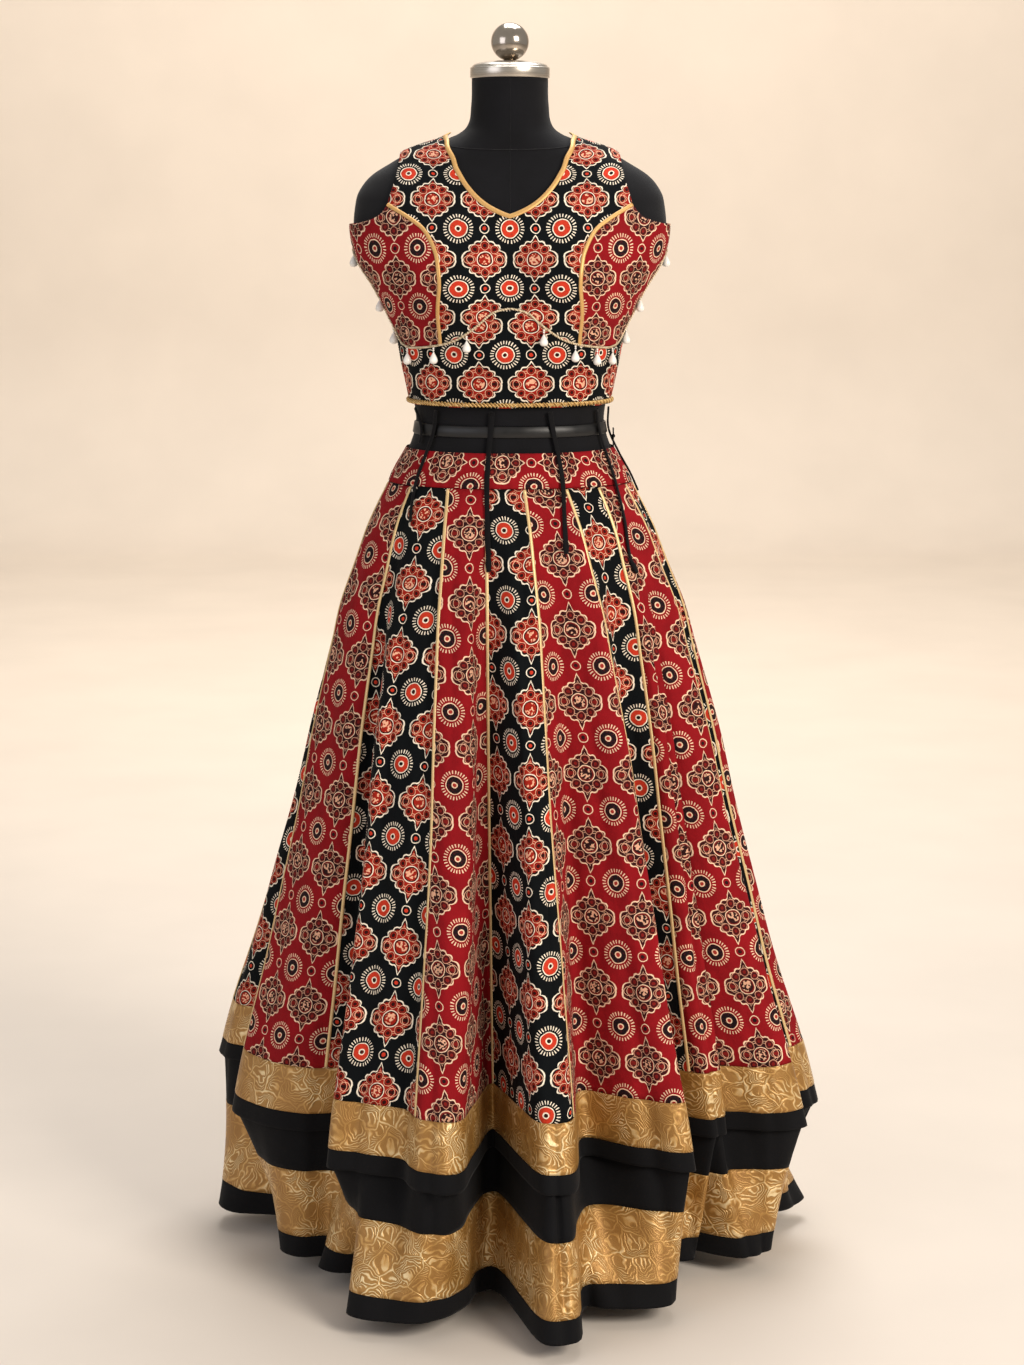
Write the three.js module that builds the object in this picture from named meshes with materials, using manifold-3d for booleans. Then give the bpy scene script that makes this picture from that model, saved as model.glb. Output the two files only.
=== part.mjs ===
// A lehenga choli shown on a limbless dress form: a fitted sleeveless blouse with off-shoulder cap sleeves
// over a long skirt of eighteen flared panels, whose two hem tiers hang in deep folds. Millimetres, +Z up,
// the front faces -Y, and the origin is the centre of the stand's base on the floor. Angles are degrees
// round the body: 0 is the front, 90 the side towards +X and 180 the back.
import * as THREE from "three";
import { mergeVertices } from "three/addons/utils/BufferGeometryUtils.js";
import Module from "manifold-3d";

const wasm = await Module();
wasm.setup();

// Seams, walls and the room between the cloth and the form.
const SEAM_GAP = 0.4;
const FORM_GAP = 4.4;
const WAIST_GAP = 1.1;
const CLOTH = 2;
const SKIRT_CLOTH = 2;
const PANEL_GAP = 0.5;
const RING_GAP = 0.7;
const TRIM_GAP = 1;
const TRIM_HEIGHT = 1.4;

// Heights of the skirt's levels.
const WAIST_TOP = 1027;
const WAIST_SEAM = 985;
const FLOUNCE_TOP = 370;
const UPPER_HEM = 185;
const UPPER_BINDING = 23;
const LOWER_HEM = 25;
const LOWER_BINDING = 26;
const LOWER_BORDER = 82;

// The stand and the metal fittings of the form.
const BASE = { radius: 165, height: 12, edge: 4, segments: 32 };
const POLE = { radius: 12.5 };
const NECK_CAP = { radius: 48, height: 13, dome: 7, flat: 34.56, segments: 28 };
const FINIAL = { radius: 22.8, stem: 8, raised: 1, steps: 8, segments: 18 };
const WAIST_TAPE = { low: 1045, high: 1060, gap: 0.6, proud: 2 };

// Horizontal sections of the form: half the width, the depth in front of and behind the axis, and how
// square it is.
const FORM_SECTIONS = [
  { height: 800, side: 160, front: 98, back: 106, square: 2.1 },
  { height: 860, side: 171, front: 102, back: 116, square: 2.1 },
  { height: 930, side: 163, front: 100, back: 108, square: 2.1 },
  { height: 985, side: 147, front: 96, back: 93, square: 2.1 },
  { height: 1027, side: 125, front: 88, back: 80, square: 2.1 },
  { height: 1056, side: 116, front: 85, back: 76, square: 2.1 },
  { height: 1083, side: 118, front: 87, back: 77, square: 2.1 },
  { height: 1120, side: 126, front: 95, back: 80, square: 2.1 },
  { height: 1160, side: 134, front: 103, back: 84, square: 2.15 },
  { height: 1195, side: 147, front: 106, back: 88, square: 2.3 },
  { height: 1226, side: 163, front: 106, back: 91, square: 2.5 },
  { height: 1256, side: 181, front: 104, back: 94, square: 2.6 },
  { height: 1290, side: 190, front: 98, back: 96, square: 2.5 },
  { height: 1328, side: 187, front: 85, back: 94, square: 2.2 },
  { height: 1342, side: 181, front: 79, back: 91, square: 2.1 },
  { height: 1357, side: 168, front: 72, back: 86, square: 2 },
  { height: 1371, side: 146, front: 65, back: 79, square: 2 },
  { height: 1385, side: 120, front: 59, back: 71, square: 2 },
  { height: 1400, side: 76, front: 54, back: 61, square: 2 },
  { height: 1414, side: 53, front: 51, back: 55, square: 2 },
  { height: 1440, side: 47, front: 50, back: 52, square: 2 },
  { height: 1472, side: 46, front: 50, back: 51, square: 2 },
];
const BUST = { aside: 78, height: 1236, reach: 42, depth: 22 };
const FORM_ROWS = [
  800, 860, 930, 985, 1027, 1045, 1060, 1083, 1125, 1165, 1200, 1225, 1250, 1275, 1300, 1323, 1340, 1354,
  1366, 1377, 1387, 1396, 1406, 1422, 1472,
];
const FORM_COLUMNS = 28;

// The folds of each tier's hem, from the left side round by the front: the two ends of a fold's crest and
// the trough after it, each as an angle and a distance from the axis, and how far that fold's hem is
// lifted.
const UPPER_FOLDS = [
  { fold: "far left", from: [-107, 392], to: [-100, 380], trough: [-93, 300], lift: 36 },
  { fold: "left", from: [-82, 352], to: [-62, 292], trough: [-55, 232], lift: 4 },
  { fold: "front left side", from: [-41.5, 333], to: [-34, 326], trough: [-25, 320], lift: 0 },
  { fold: "front left", from: [-17, 352], to: [-10, 348], trough: [-6, 180], lift: 0 },
  { fold: "front centre", from: [7, 350], to: [11.5, 352], trough: [23, 234], lift: 0 },
  { fold: "front right", from: [33, 302], to: [39.5, 346], trough: [57, 205], lift: 0 },
  { fold: "small right", from: [60, 292], to: [63, 300], trough: [66, 288], lift: 0 },
  { fold: "right", from: [69, 350], to: [75, 382], trough: [80, 338], lift: 0 },
  { fold: "far right", from: [85, 384], to: [90, 396], trough: [97, 300], lift: 2 },
  { fold: "back 1", from: [106, 360], to: [113, 378], trough: [121, 265], lift: 6 },
  { fold: "back 2", from: [131, 350], to: [138, 362], trough: [146, 255], lift: 4 },
  { fold: "back 3", from: [156, 360], to: [164, 372], trough: [172, 262], lift: 0 },
  { fold: "back 4", from: [182, 350], to: [189, 365], trough: [198, 258], lift: 4 },
  { fold: "back 5", from: [208, 362], to: [215, 374], trough: [224, 260], lift: 8 },
  { fold: "back 6", from: [231, 364], to: [237, 368], trough: [244, 300], lift: 24 },
];
const LOWER_FOLDS = [
  { fold: "far left", from: [-101, 385], to: [-92, 364], trough: [-86, 275], lift: 2 },
  { fold: "left", from: [-69, 306], to: [-63, 298], trough: [-59, 268], lift: 0 },
  { fold: "front left side", from: [-55, 290], to: [-50, 286], trough: [-41, 250], lift: 0 },
  { fold: "front left", from: [-31, 372], to: [-15, 352], trough: [-5, 243], lift: 0 },
  { fold: "front centre", from: [6.5, 403], to: [11.5, 400], trough: [17, 300], lift: -3 },
  { fold: "front right", from: [22, 325], to: [34, 348], trough: [49, 236], lift: 0 },
  { fold: "small right", from: [55, 264], to: [59, 270], trough: [63, 240], lift: 0 },
  { fold: "right", from: [64.5, 322], to: [71, 347], trough: [80, 262], lift: 0 },
  { fold: "far right", from: [96, 378], to: [101, 392], trough: [108, 290], lift: 2 },
  { fold: "back 1", from: [116, 362], to: [122, 375], trough: [129, 262], lift: 0 },
  { fold: "back 2", from: [137, 352], to: [143, 365], trough: [150, 250], lift: 2 },
  { fold: "back 3", from: [159, 365], to: [166, 376], trough: [174, 258], lift: 0 },
  { fold: "back 4", from: [183, 352], to: [190, 368], trough: [199, 252], lift: 2 },
  { fold: "back 5", from: [208, 365], to: [215, 378], trough: [224, 256], lift: 0 },
  { fold: "back 6", from: [233, 366], to: [240, 376], trough: [247, 300], lift: 2 },
];
const POINTS_PER_FOLD = 3;
const TURN = UPPER_FOLDS.length * POINTS_PER_FOLD;

// How the skirt spreads from its waist seam, 0, to its upper hem, 1, and how late its folds open.
const SPREAD = [
  { height: 985, share: 0 },
  { height: 936, share: 0.125 },
  { height: 886, share: 0.215 },
  { height: 835, share: 0.305 },
  { height: 785, share: 0.36 },
  { height: 683, share: 0.475 },
  { height: 580, share: 0.575 },
  { height: 476, share: 0.69 },
  { height: 370, share: 0.8 },
  { height: 264, share: 0.925 },
  { height: 185, share: 1 },
];
const FOLD_GROWTH = 1.5;
const FOLD_REACH = 0.35;
const HEM_MEAN = { side: 335, front: 300, back: 312 };

// The seams between the skirt's panels: the angle at the waist, and the place on the hem counted in fold
// points.
const SEAMS = [
  { waist: -105, hem: 0.6 },
  { waist: -85, hem: 3 },
  { waist: -53, hem: 4.3 },
  { waist: -29, hem: 8.7 },
  { waist: -10, hem: 11 },
  { waist: 6, hem: 13.2 },
  { waist: 26, hem: 16.2 },
  { waist: 45, hem: 17.7 },
  { waist: 70, hem: 22.1 },
  { waist: 87, hem: 23.8 },
  { waist: 105, hem: 26.2 },
  { waist: 123.8, hem: 28.6 },
  { waist: 142.5, hem: 31 },
  { waist: 161.3, hem: 33.5 },
  { waist: 180, hem: 35.9 },
  { waist: 198.8, hem: 38.3 },
  { waist: 217.5, hem: 40.8 },
  { waist: 236.3, hem: 43.2 },
];
const PANEL_ROWS = [985, 910, 820, 710, 550, 370, 266];
const COLUMN_STEP = 0.6;
const FEWEST_COLUMNS = 4;
const WAIST_COLUMNS = 36;

// Lines on the blouse, as angles and heights on its right half; the left half mirrors them.
const FRONT_NECK = [
  { angle: 0, height: 1307.5 },
  { angle: 6.5, height: 1320 },
  { angle: 11.1, height: 1331 },
  { angle: 16.2, height: 1344.6 },
  { angle: 22.4, height: 1360.5 },
  { angle: 31.4, height: 1379 },
  { angle: 48, height: 1392 },
  { angle: 90, height: 1402 },
];
const BACK_NECK = [
  { angle: 90, height: 1402 },
  { angle: 122, height: 1390 },
  { angle: 142, height: 1374 },
  { angle: 160, height: 1360 },
  { angle: 180, height: 1355 },
];
const PRINCESS = [
  { angle: 35.5, height: 1160 },
  { angle: 31.5, height: 1195 },
  { angle: 24.5, height: 1229 },
  { angle: 22, height: 1250 },
  { angle: 22.2, height: 1268 },
  { angle: 27, height: 1292 },
  { angle: 35, height: 1306 },
  { angle: 47.5, height: 1321 },
];
const STRAP = [
  { angle: 47.5, height: 1321 },
  { angle: 49, height: 1343 },
  { angle: 55, height: 1361 },
  { angle: 70, height: 1375 },
  { angle: 90, height: 1383 },
];
const UNDERBUST = [
  { angle: 0, height: 1203 },
  { angle: 6, height: 1198 },
  { angle: 12, height: 1186 },
  { angle: 18, height: 1176 },
  { angle: 24, height: 1168 },
  { angle: 30, height: 1163 },
  { angle: 35.5, height: 1160 },
  { angle: 44, height: 1157 },
  { angle: 53, height: 1155 },
  { angle: 62, height: 1155 },
  { angle: 72, height: 1163 },
  { angle: 79, height: 1190 },
  { angle: 90, height: 1198 },
  { angle: 101, height: 1190 },
  { angle: 108, height: 1163 },
  { angle: 118, height: 1155 },
  { angle: 127, height: 1155 },
  { angle: 136, height: 1157 },
  { angle: 144.5, height: 1160 },
  { angle: 156, height: 1160 },
  { angle: 168, height: 1160 },
  { angle: 180, height: 1160 },
];
const SLEEVE_TOP = [
  { angle: 47.5, height: 1321 },
  { angle: 51, height: 1310 },
  { angle: 58, height: 1303 },
  { angle: 67, height: 1300 },
  { angle: 90, height: 1299 },
];
const CUFF = [
  { angle: 79, height: 1190 },
  { angle: 78.5, height: 1215 },
  { angle: 79, height: 1240 },
  { angle: 82, height: 1261 },
  { angle: 90, height: 1270 },
];
const BLOUSE_HEM = 1083;

// Trims: the gold piping, the braid at the hem and the white drops that hang from the trim under the bust.
const PIPING = { width: 5, height: TRIM_HEIGHT };
const BRAID = { width: 8, height: 2 };
const DROP_TRIM = { width: 3.6, height: 1.6 };
const DROP = { radius: 4.6, tip: 2.3, belly: 4.5, length: 15, hang: 6, stand: 5.6, wire: 0.9, sides: 5 };
const FRONT_DROPS = [-76, -62, -40, -20, 15, 33, 48, 62, 76];
const BACK_DROPS = [104, 118, 134, 151, 169, 187, 205, 222, 240, 256];
const CUFF_DROPS = [0.2, 0.5, 0.8];

// Ties that hang from under the blouse over the skirt: the angle and height of each point, and how far it
// stands off.
const TIE = { radius: 3, knot: 5, gap: 0.9, sides: 8, step: 16.5 };
const TIES = [
  {
    name: "tie_front_1",
    knotted: false,
    points: [[-47, 1078], [-49.5, 1050], [-50, 1020], [-49, 992], [-47, 965], [-45, 944]],
  },
  {
    name: "tie_front_2",
    knotted: true,
    points: [
      [-9.5, 1078], [-10.5, 1050], [-10.5, 1020], [-10, 992], [-9.7, 955], [-9.6, 928], [-9.4, 910],
      [-9.3, 889],
    ],
  },
  {
    name: "tie_front_3",
    knotted: true,
    points: [[22.5, 1078], [25, 1050], [25.5, 1020], [24.5, 992], [20, 950], [17.5, 910]],
  },
  {
    name: "tie_front_4",
    knotted: true,
    points: [[60, 1078], [64, 1050], [62, 1020], [58.5, 992], [53, 945], [49, 900], [51, 881]],
  },
  {
    name: "tie_side_left",
    knotted: false,
    points: [[-72, 1078], [-66, 1062], [-62, 1048], [-60, 1034]],
  },
  {
    name: "tie_side_right",
    knotted: false,
    points: [[84, 1078], [87, 1050], [89, 1020], [90, 992], [90.5, 972]],
  },
];

function material(color, roughness, metalness = 0) {
  return new THREE.MeshStandardMaterial({ color, roughness, metalness });
}
const BLACK_PRINT = material(0x14181a, 0.85);
const RED_PRINT = material(0x8e1b1d, 0.85);
const BLACK_CLOTH = material(0x101012, 0.9);
const GOLD_BROCADE = material(0xb98b45, 0.45, 0.3);
const GOLD_PIPING = material(0xc9a25c, 0.5, 0.3);
const WHITE_DROP = material(0xf1eee6, 0.25);
const FORM_JERSEY = material(0x17171a, 0.95);
const METAL = material(0xb9b4aa, 0.25, 1);
const STAND_METAL = material(0x2a2a2c, 0.5, 0.8);

// The value of a table's column at x, on a smooth curve through its rows, which may run up or down.
function smoothAt(rows, key, column, x) {
  const falling = rows[0][key] > rows[rows.length - 1][key];
  const sorted = falling ? [...rows].reverse() : rows;
  const last = sorted.length - 1;
  let i = sorted.findIndex((row) => row[key] > x) - 1;
  if (i < 0) i = x < sorted[0][key] ? 0 : last - 1;
  const slope = (a, b) => (sorted[b][column] - sorted[a][column]) / (sorted[b][key] - sorted[a][key]);
  const step = sorted[i + 1][key] - sorted[i][key];
  const t = THREE.MathUtils.clamp((x - sorted[i][key]) / step, 0, 1);
  const m0 = i > 0 ? slope(i - 1, i + 1) : slope(i, i + 1);
  const m1 = i + 2 <= last ? slope(i, i + 2) : slope(i, i + 1);
  const [t2, t3] = [t * t, t * t * t];
  return (
    (2 * t3 - 3 * t2 + 1) * sorted[i][column] +
    (t3 - 2 * t2 + t) * step * m0 +
    (3 * t2 - 2 * t3) * sorted[i + 1][column] +
    (t3 - t2) * step * m1
  );
}

// A point on the form's skin.
function formSkin(angle, height) {
  const at = (column) => smoothAt(FORM_SECTIONS, "height", column, height);
  const [s, c] = [Math.sin(THREE.MathUtils.degToRad(angle)), Math.cos(THREE.MathUtils.degToRad(angle))];
  const bend = 2 / at("square");
  const x = at("side") * Math.sign(s) * Math.abs(s) ** bend;
  let y = -(c > 0 ? at("front") : at("back")) * Math.sign(c) * Math.abs(c) ** bend;
  if (c > 0)
    for (const side of [-1, 1]) {
      const away = ((x - side * BUST.aside) ** 2 + (height - BUST.height) ** 2) / (2 * BUST.reach ** 2);
      y -= BUST.depth * c ** 0.5 * Math.exp(-away);
    }
  return new THREE.Vector3(x, y, height);
}

// The direction in which a surface faces at (a, b), from points close beside it.
function facing(surface, a, b, da, db) {
  const across = surface(a + da, b).sub(surface(a - da, b));
  const along = surface(a, b + db).sub(surface(a, b - db));
  return across.cross(along).normalize();
}

// A point that stands off the form's skin by that much.
function onForm(angle, height, proud) {
  const normal = facing(formSkin, angle, height, 0.5, 0.5);
  return formSkin(angle, height).addScaledVector(normal, proud);
}

// Builds a closed solid from rings of points: a tube's sides, and a fan over each open end.
function loft(rings) {
  const positions = [];
  const push = (...points) => points.forEach((p) => positions.push(p.x, p.y, p.z));
  const count = rings[0].length;
  for (let j = 0; j + 1 < rings.length; j++)
    for (let i = 0; i < count; i++) {
      const k = (i + 1) % count;
      push(rings[j][i], rings[j][k], rings[j + 1][k], rings[j][i], rings[j + 1][k], rings[j + 1][i]);
    }
  const fan = (ring, flip) => {
    const middle = ring.reduce((sum, p) => sum.add(p), new THREE.Vector3()).divideScalar(count);
    for (let i = 0; i < count; i++) {
      const k = (i + 1) % count;
      if (flip) push(middle, ring[k], ring[i]);
      else push(middle, ring[i], ring[k]);
    }
  };
  fan(rings[0], true);
  fan(rings[rings.length - 1], false);
  return new THREE.BufferGeometry().setAttribute("position", new THREE.Float32BufferAttribute(positions, 3));
}

// Moves the edge points of a grid inwards by half a seam's gap. A ring has no edges across.
function insetEdges(grid, ring, gap) {
  const half = gap / 2;
  const towards = (p, q) => p.clone().addScaledVector(q.clone().sub(p).normalize(), half);
  const rows = grid.length - 1;
  const columns = grid[0].length - 1;
  const across = grid.map((row) =>
    row.map((p, i) => (ring ? p : i === 0 ? towards(p, row[1]) : i === columns ? towards(p, row[i - 1]) : p)),
  );
  return across.map((row, j) =>
    row.map((p, i) => (j === 0 ? towards(p, across[1][i]) : j === rows ? towards(p, across[j - 1][i]) : p)),
  );
}

// Builds a wall of cloth between an outer and an inner grid of points, with rims along its edges.
function wall(outerGrid, innerGrid, ring = false, gap = SEAM_GAP) {
  const outer = insetEdges(outerGrid, ring, gap);
  const inner = insetEdges(innerGrid, ring, gap);
  const positions = [];
  const push = (...points) => points.forEach((p) => positions.push(p.x, p.y, p.z));
  const quad = (a, b, c, d) => push(a, b, c, a, c, d);
  const rows = outer.length - 1;
  const columns = outer[0].length - (ring ? 0 : 1);
  const next = (i) => (i + 1) % outer[0].length;
  for (let j = 0; j < rows; j++)
    for (let i = 0; i < columns; i++) {
      quad(outer[j][i], outer[j][next(i)], outer[j + 1][next(i)], outer[j + 1][i]);
      push(inner[j][i], inner[j + 1][next(i)], inner[j][next(i)]);
      push(inner[j][i], inner[j + 1][i], inner[j + 1][next(i)]);
    }
  for (let i = 0; i < columns; i++) {
    quad(inner[0][i], inner[0][next(i)], outer[0][next(i)], outer[0][i]);
    quad(outer[rows][i], outer[rows][next(i)], inner[rows][next(i)], inner[rows][i]);
  }
  if (!ring)
    for (let j = 0; j < rows; j++) {
      quad(outer[j][0], outer[j + 1][0], inner[j + 1][0], inner[j][0]);
      quad(inner[j][columns], inner[j + 1][columns], outer[j + 1][columns], outer[j][columns]);
    }
  return new THREE.BufferGeometry().setAttribute("position", new THREE.Float32BufferAttribute(positions, 3));
}

// Geometry as a solid for joins, with points closer than the weld made one, and back again.
const WELD = 1e-3;
function solidOf(geometry) {
  const loose = geometry.index ? geometry.toNonIndexed() : geometry;
  const bare = new THREE.BufferGeometry().setAttribute("position", loose.getAttribute("position"));
  const merged = mergeVertices(bare, WELD);
  return new wasm.Manifold(
    new wasm.Mesh({
      numProp: 3,
      vertProperties: merged.attributes.position.array,
      triVerts: new Uint32Array(merged.index.array),
    }),
  );
}
function geometryOf(solid) {
  const mesh = solid.getMesh();
  return new THREE.BufferGeometry()
    .setAttribute("position", new THREE.BufferAttribute(new Float32Array(mesh.vertProperties), 3))
    .setIndex(new THREE.BufferAttribute(new Uint32Array(mesh.triVerts), 1));
}

const group = new THREE.Group();
function add(name, geometry, finish) {
  const mesh = new THREE.Mesh(geometry, finish);
  mesh.name = name;
  group.add(mesh);
}

// The dress form: its padded body, the metal cap and ball on its neck, its waist tape, and its stand.
function dressForm() {
  const angles = Array.from({ length: FORM_COLUMNS }, (_, i) => (360 * i) / FORM_COLUMNS);
  const skin = FORM_ROWS.map((height) => angles.map((angle) => formSkin(angle, height)));
  add("form_body", loft(skin), FORM_JERSEY);

  const top = FORM_ROWS[FORM_ROWS.length - 1] + SEAM_GAP;
  const turned = (points, segments) => {
    const profile = points.map(([r, z]) => new THREE.Vector2(r, z));
    return new THREE.LatheGeometry(profile, segments).rotateX(Math.PI / 2);
  };
  const { radius, height, dome, flat } = NECK_CAP;
  const crown = top + height + dome;
  const capPoints = [[0, top], [radius, top], [radius, top + height], [flat, crown], [0, crown]];
  add("form_neck_cap", turned(capPoints, NECK_CAP.segments), METAL);
  const seat = crown + SEAM_GAP;
  const middle = seat + Math.sqrt(FINIAL.radius ** 2 - FINIAL.stem ** 2) + FINIAL.raised;
  const ballPoints = [[0, seat], [FINIAL.stem, seat]];
  const from = Math.asin(FINIAL.stem / FINIAL.radius);
  for (let i = 0; i <= FINIAL.steps; i++) {
    const turn = from + ((Math.PI - from) * i) / FINIAL.steps;
    ballPoints.push([Math.max(0, FINIAL.radius * Math.sin(turn)), middle - FINIAL.radius * Math.cos(turn)]);
  }
  ballPoints[ballPoints.length - 1][0] = 0;
  add("form_finial", turned(ballPoints, FINIAL.segments), METAL);

  const tape = (proud) =>
    [WAIST_TAPE.low, WAIST_TAPE.high].map((level) => angles.map((angle) => onForm(angle, level, proud)));
  const { gap, proud } = WAIST_TAPE;
  add("form_waist_tape", wall(tape(gap + proud), tape(gap), true), STAND_METAL);
  const bottom = FORM_ROWS[0];
  const stand = [
    [0, 0],
    [BASE.radius, 0],
    [BASE.radius, BASE.height - BASE.edge],
    [BASE.radius - BASE.edge, BASE.height],
    [POLE.radius, BASE.height],
    [POLE.radius, bottom - SEAM_GAP],
    [0, bottom - SEAM_GAP],
  ];
  add("form_stand", turned(stand, BASE.segments), STAND_METAL);
}

// A panel of the blouse between four border lines, each a list of {angle, height}: the points inside lie
// between the left and right borders, and share the bottom and top borders' bends less the further they are
// from them.
const BORDER_FADE = { angle: 3, height: 1 };
function panel(bottom, top, left, right, columns, rows) {
  const at = (line, t) => {
    const x = t * (line.length - 1);
    const i = Math.min(line.length - 2, Math.floor(x));
    return {
      angle: THREE.MathUtils.lerp(line[i].angle, line[i + 1].angle, x - i),
      height: THREE.MathUtils.lerp(line[i].height, line[i + 1].height, x - i),
    };
  };
  const straight = (line, key, t) => THREE.MathUtils.lerp(at(line, 0)[key], at(line, 1)[key], t);
  const bend = (line, key, t) => at(line, t)[key] - straight(line, key, t);
  const blend = (key, u, v) =>
    THREE.MathUtils.lerp(at(left, v)[key], at(right, v)[key], u) +
    (1 - v) ** BORDER_FADE[key] * bend(bottom, key, u) +
    v ** BORDER_FADE[key] * bend(top, key, u);
  const grid = (proud) =>
    Array.from({ length: rows + 1 }, (_, j) =>
      Array.from({ length: columns + 1 }, (_, i) =>
        onForm(blend("angle", i / columns, j / rows), blend("height", i / columns, j / rows), proud),
      ),
    );
  return wall(grid(FORM_GAP + CLOTH), grid(FORM_GAP));
}

// A line drawn again with a given number of even steps.
function evenly(line, steps) {
  const curve = new THREE.CatmullRomCurve3(
    line.map((p) => new THREE.Vector3(p.angle, p.height, 0)),
    false,
    "centripetal",
  );
  return curve.getSpacedPoints(steps).map((p) => ({ angle: p.x, height: p.y }));
}
const reversed = (line) => [...line].reverse();
const mirrored = (line) => line.map((p) => ({ angle: -p.angle, height: p.height }));
const behind = (line) => line.map((p) => ({ angle: 180 - p.angle, height: p.height }));

// The underbust line all round, from its right half, and its points between two angles.
const underbust = (angle) => {
  const turned = ((((angle + 180) % 360) + 360) % 360) - 180;
  return smoothAt(UNDERBUST, "angle", "height", Math.abs(turned));
};
const UNDERBUST_ROUND = [-360, 0, 360].flatMap((turn) => [
  ...reversed(UNDERBUST).slice(0, -1).map(({ angle, height }) => ({ angle: turn - angle, height })),
  ...UNDERBUST.slice(0, -1).map(({ angle, height }) => ({ angle: turn + angle, height })),
]);
const underbustLine = (low, high) => UNDERBUST_ROUND.filter(({ angle }) => angle >= low && angle <= high);

// The front or the back between the line under the bust and the neckline. Each row lies the same share of the
// way up between them and ends on the side's line, and its points draw together towards the middle near the neck.
const NECK_DRAW = 0.6;
function bodice(middle, side, neck, shares) {
  const edge = side[0].angle;
  const low = (aside) => underbust(middle + Math.min(aside, edge));
  const high = (aside) => smoothAt(neck, "angle", "height", Math.abs(middle - aside));
  const grid = (proud) =>
    side.map(({ angle: reach, height }) => {
      const up = (height - low(reach)) / (high(reach) - low(reach));
      return shares.map((share) => {
        const aside = reach * Math.abs(share) ** (1 + NECK_DRAW * up);
        const level = THREE.MathUtils.lerp(low(aside), high(aside), up);
        return onForm(middle + Math.sign(share) * aside, level, proud);
      });
    });
  return wall(grid(FORM_GAP + CLOTH), grid(FORM_GAP));
}

// The blouse: front, back, their red side panels with the caps over the shoulders, and the midriff.
const SIDE_STEPS = { princess: 5, strap: 3 };
const SIDE_ROWS = 5;
const BACK_COLUMNS = 18;
const OUTER_ANGLES = [27, 32.75];
const CUFF_STEPS = 3;
const MIDRIFF_ROWS = 2;
function blouse() {
  const princess = evenly(PRINCESS, SIDE_STEPS.princess);
  const shoulder = FRONT_NECK[FRONT_NECK.length - 1];
  const side = [...princess, ...evenly(STRAP, SIDE_STEPS.strap).slice(1), shoulder];
  const edge = princess[0].angle;
  const frontAngles = [...underbustLine(-edge, edge).map(({ angle }) => angle), ...OUTER_ANGLES];
  const allAngles = [...frontAngles, ...OUTER_ANGLES.map((angle) => -angle)].sort((a, b) => a - b);
  const frontShares = allAngles.map((angle) => angle / edge);
  add("choli_front", bodice(0, side, FRONT_NECK, frontShares), BLACK_PRINT);
  const backShares = Array.from({ length: BACK_COLUMNS + 1 }, (_, i) => (2 * i) / BACK_COLUMNS - 1);
  add("choli_back", bodice(180, side, BACK_NECK, backShares), BLACK_PRINT);

  const sideBottom = [...underbustLine(edge, CUFF[0].angle), ...evenly(CUFF, CUFF_STEPS).slice(1)];
  const columns = sideBottom.length - 1;
  const sideTop = evenly(SLEEVE_TOP, columns);
  const shoulderSeam = [sideBottom[columns], sideTop[columns]];
  const build = (turn, flip) => {
    const [bottom, top, left, right] = [sideBottom, sideTop, princess, shoulderSeam].map(turn);
    return flip
      ? panel(reversed(bottom), reversed(top), right, left, columns, SIDE_ROWS)
      : panel(bottom, top, left, right, columns, SIDE_ROWS);
  };
  const sidePanels = [
    ["choli_side_front_right", (line) => line, false],
    ["choli_side_front_left", mirrored, true],
    ["choli_side_back_right", behind, true],
    ["choli_side_back_left", (line) => mirrored(behind(line)), false],
  ];
  for (const [name, turn, flip] of sidePanels) add(name, build(turn, flip), RED_PRINT);

  const band = (low, high) => {
    const top = underbustLine(low, high);
    const hem = top.map(({ angle }) => ({ angle, height: BLOUSE_HEM }));
    const last = top.length - 1;
    return panel(hem, top, [hem[0], top[0]], [hem[last], top[last]], last, MIDRIFF_ROWS);
  };
  add("choli_midriff_front", band(-90, 90), BLACK_PRINT);
  add("choli_midriff_back", band(90, 270), BLACK_PRINT);
}

// A narrow trim along a line on the blouse, with sloping sides that leave its top this share of its width.
const TRIM_TOP = 0.6;
function trimAlong(line, size, closed = false) {
  const base = FORM_GAP + CLOTH + TRIM_GAP;
  const count = line.length;
  const sections = line.map((p, i) => {
    const before = line[closed ? (i + count - 1) % count : Math.max(0, i - 1)];
    const after = line[closed ? (i + 1) % count : Math.min(count - 1, i + 1)];
    const low = onForm(p.angle, p.height, base);
    const high = onForm(p.angle, p.height, base + size.height);
    const [start, end] = [before, after].map(({ angle, height }) => onForm(angle, height, base));
    const forward = end.sub(start).normalize();
    const sideways = high.clone().sub(low).normalize().cross(forward).normalize();
    const place = (p0, share) => p0.clone().addScaledVector(sideways, (share * size.width) / 2);
    return [place(low, -1), place(low, 1), place(high, TRIM_TOP), place(high, -TRIM_TOP)];
  });
  if (!closed) return loft(sections);
  const positions = [];
  const push = (...points) => points.forEach((p) => positions.push(p.x, p.y, p.z));
  for (let i = 0; i < count; i++) {
    const [a, b] = [sections[i], sections[(i + 1) % count]];
    for (let k = 0; k < 4; k++) {
      const n = (k + 1) % 4;
      push(a[k], a[n], b[n], a[k], b[n], b[k]);
    }
  }
  return new THREE.BufferGeometry().setAttribute("position", new THREE.Float32BufferAttribute(positions, 3));
}

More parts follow.
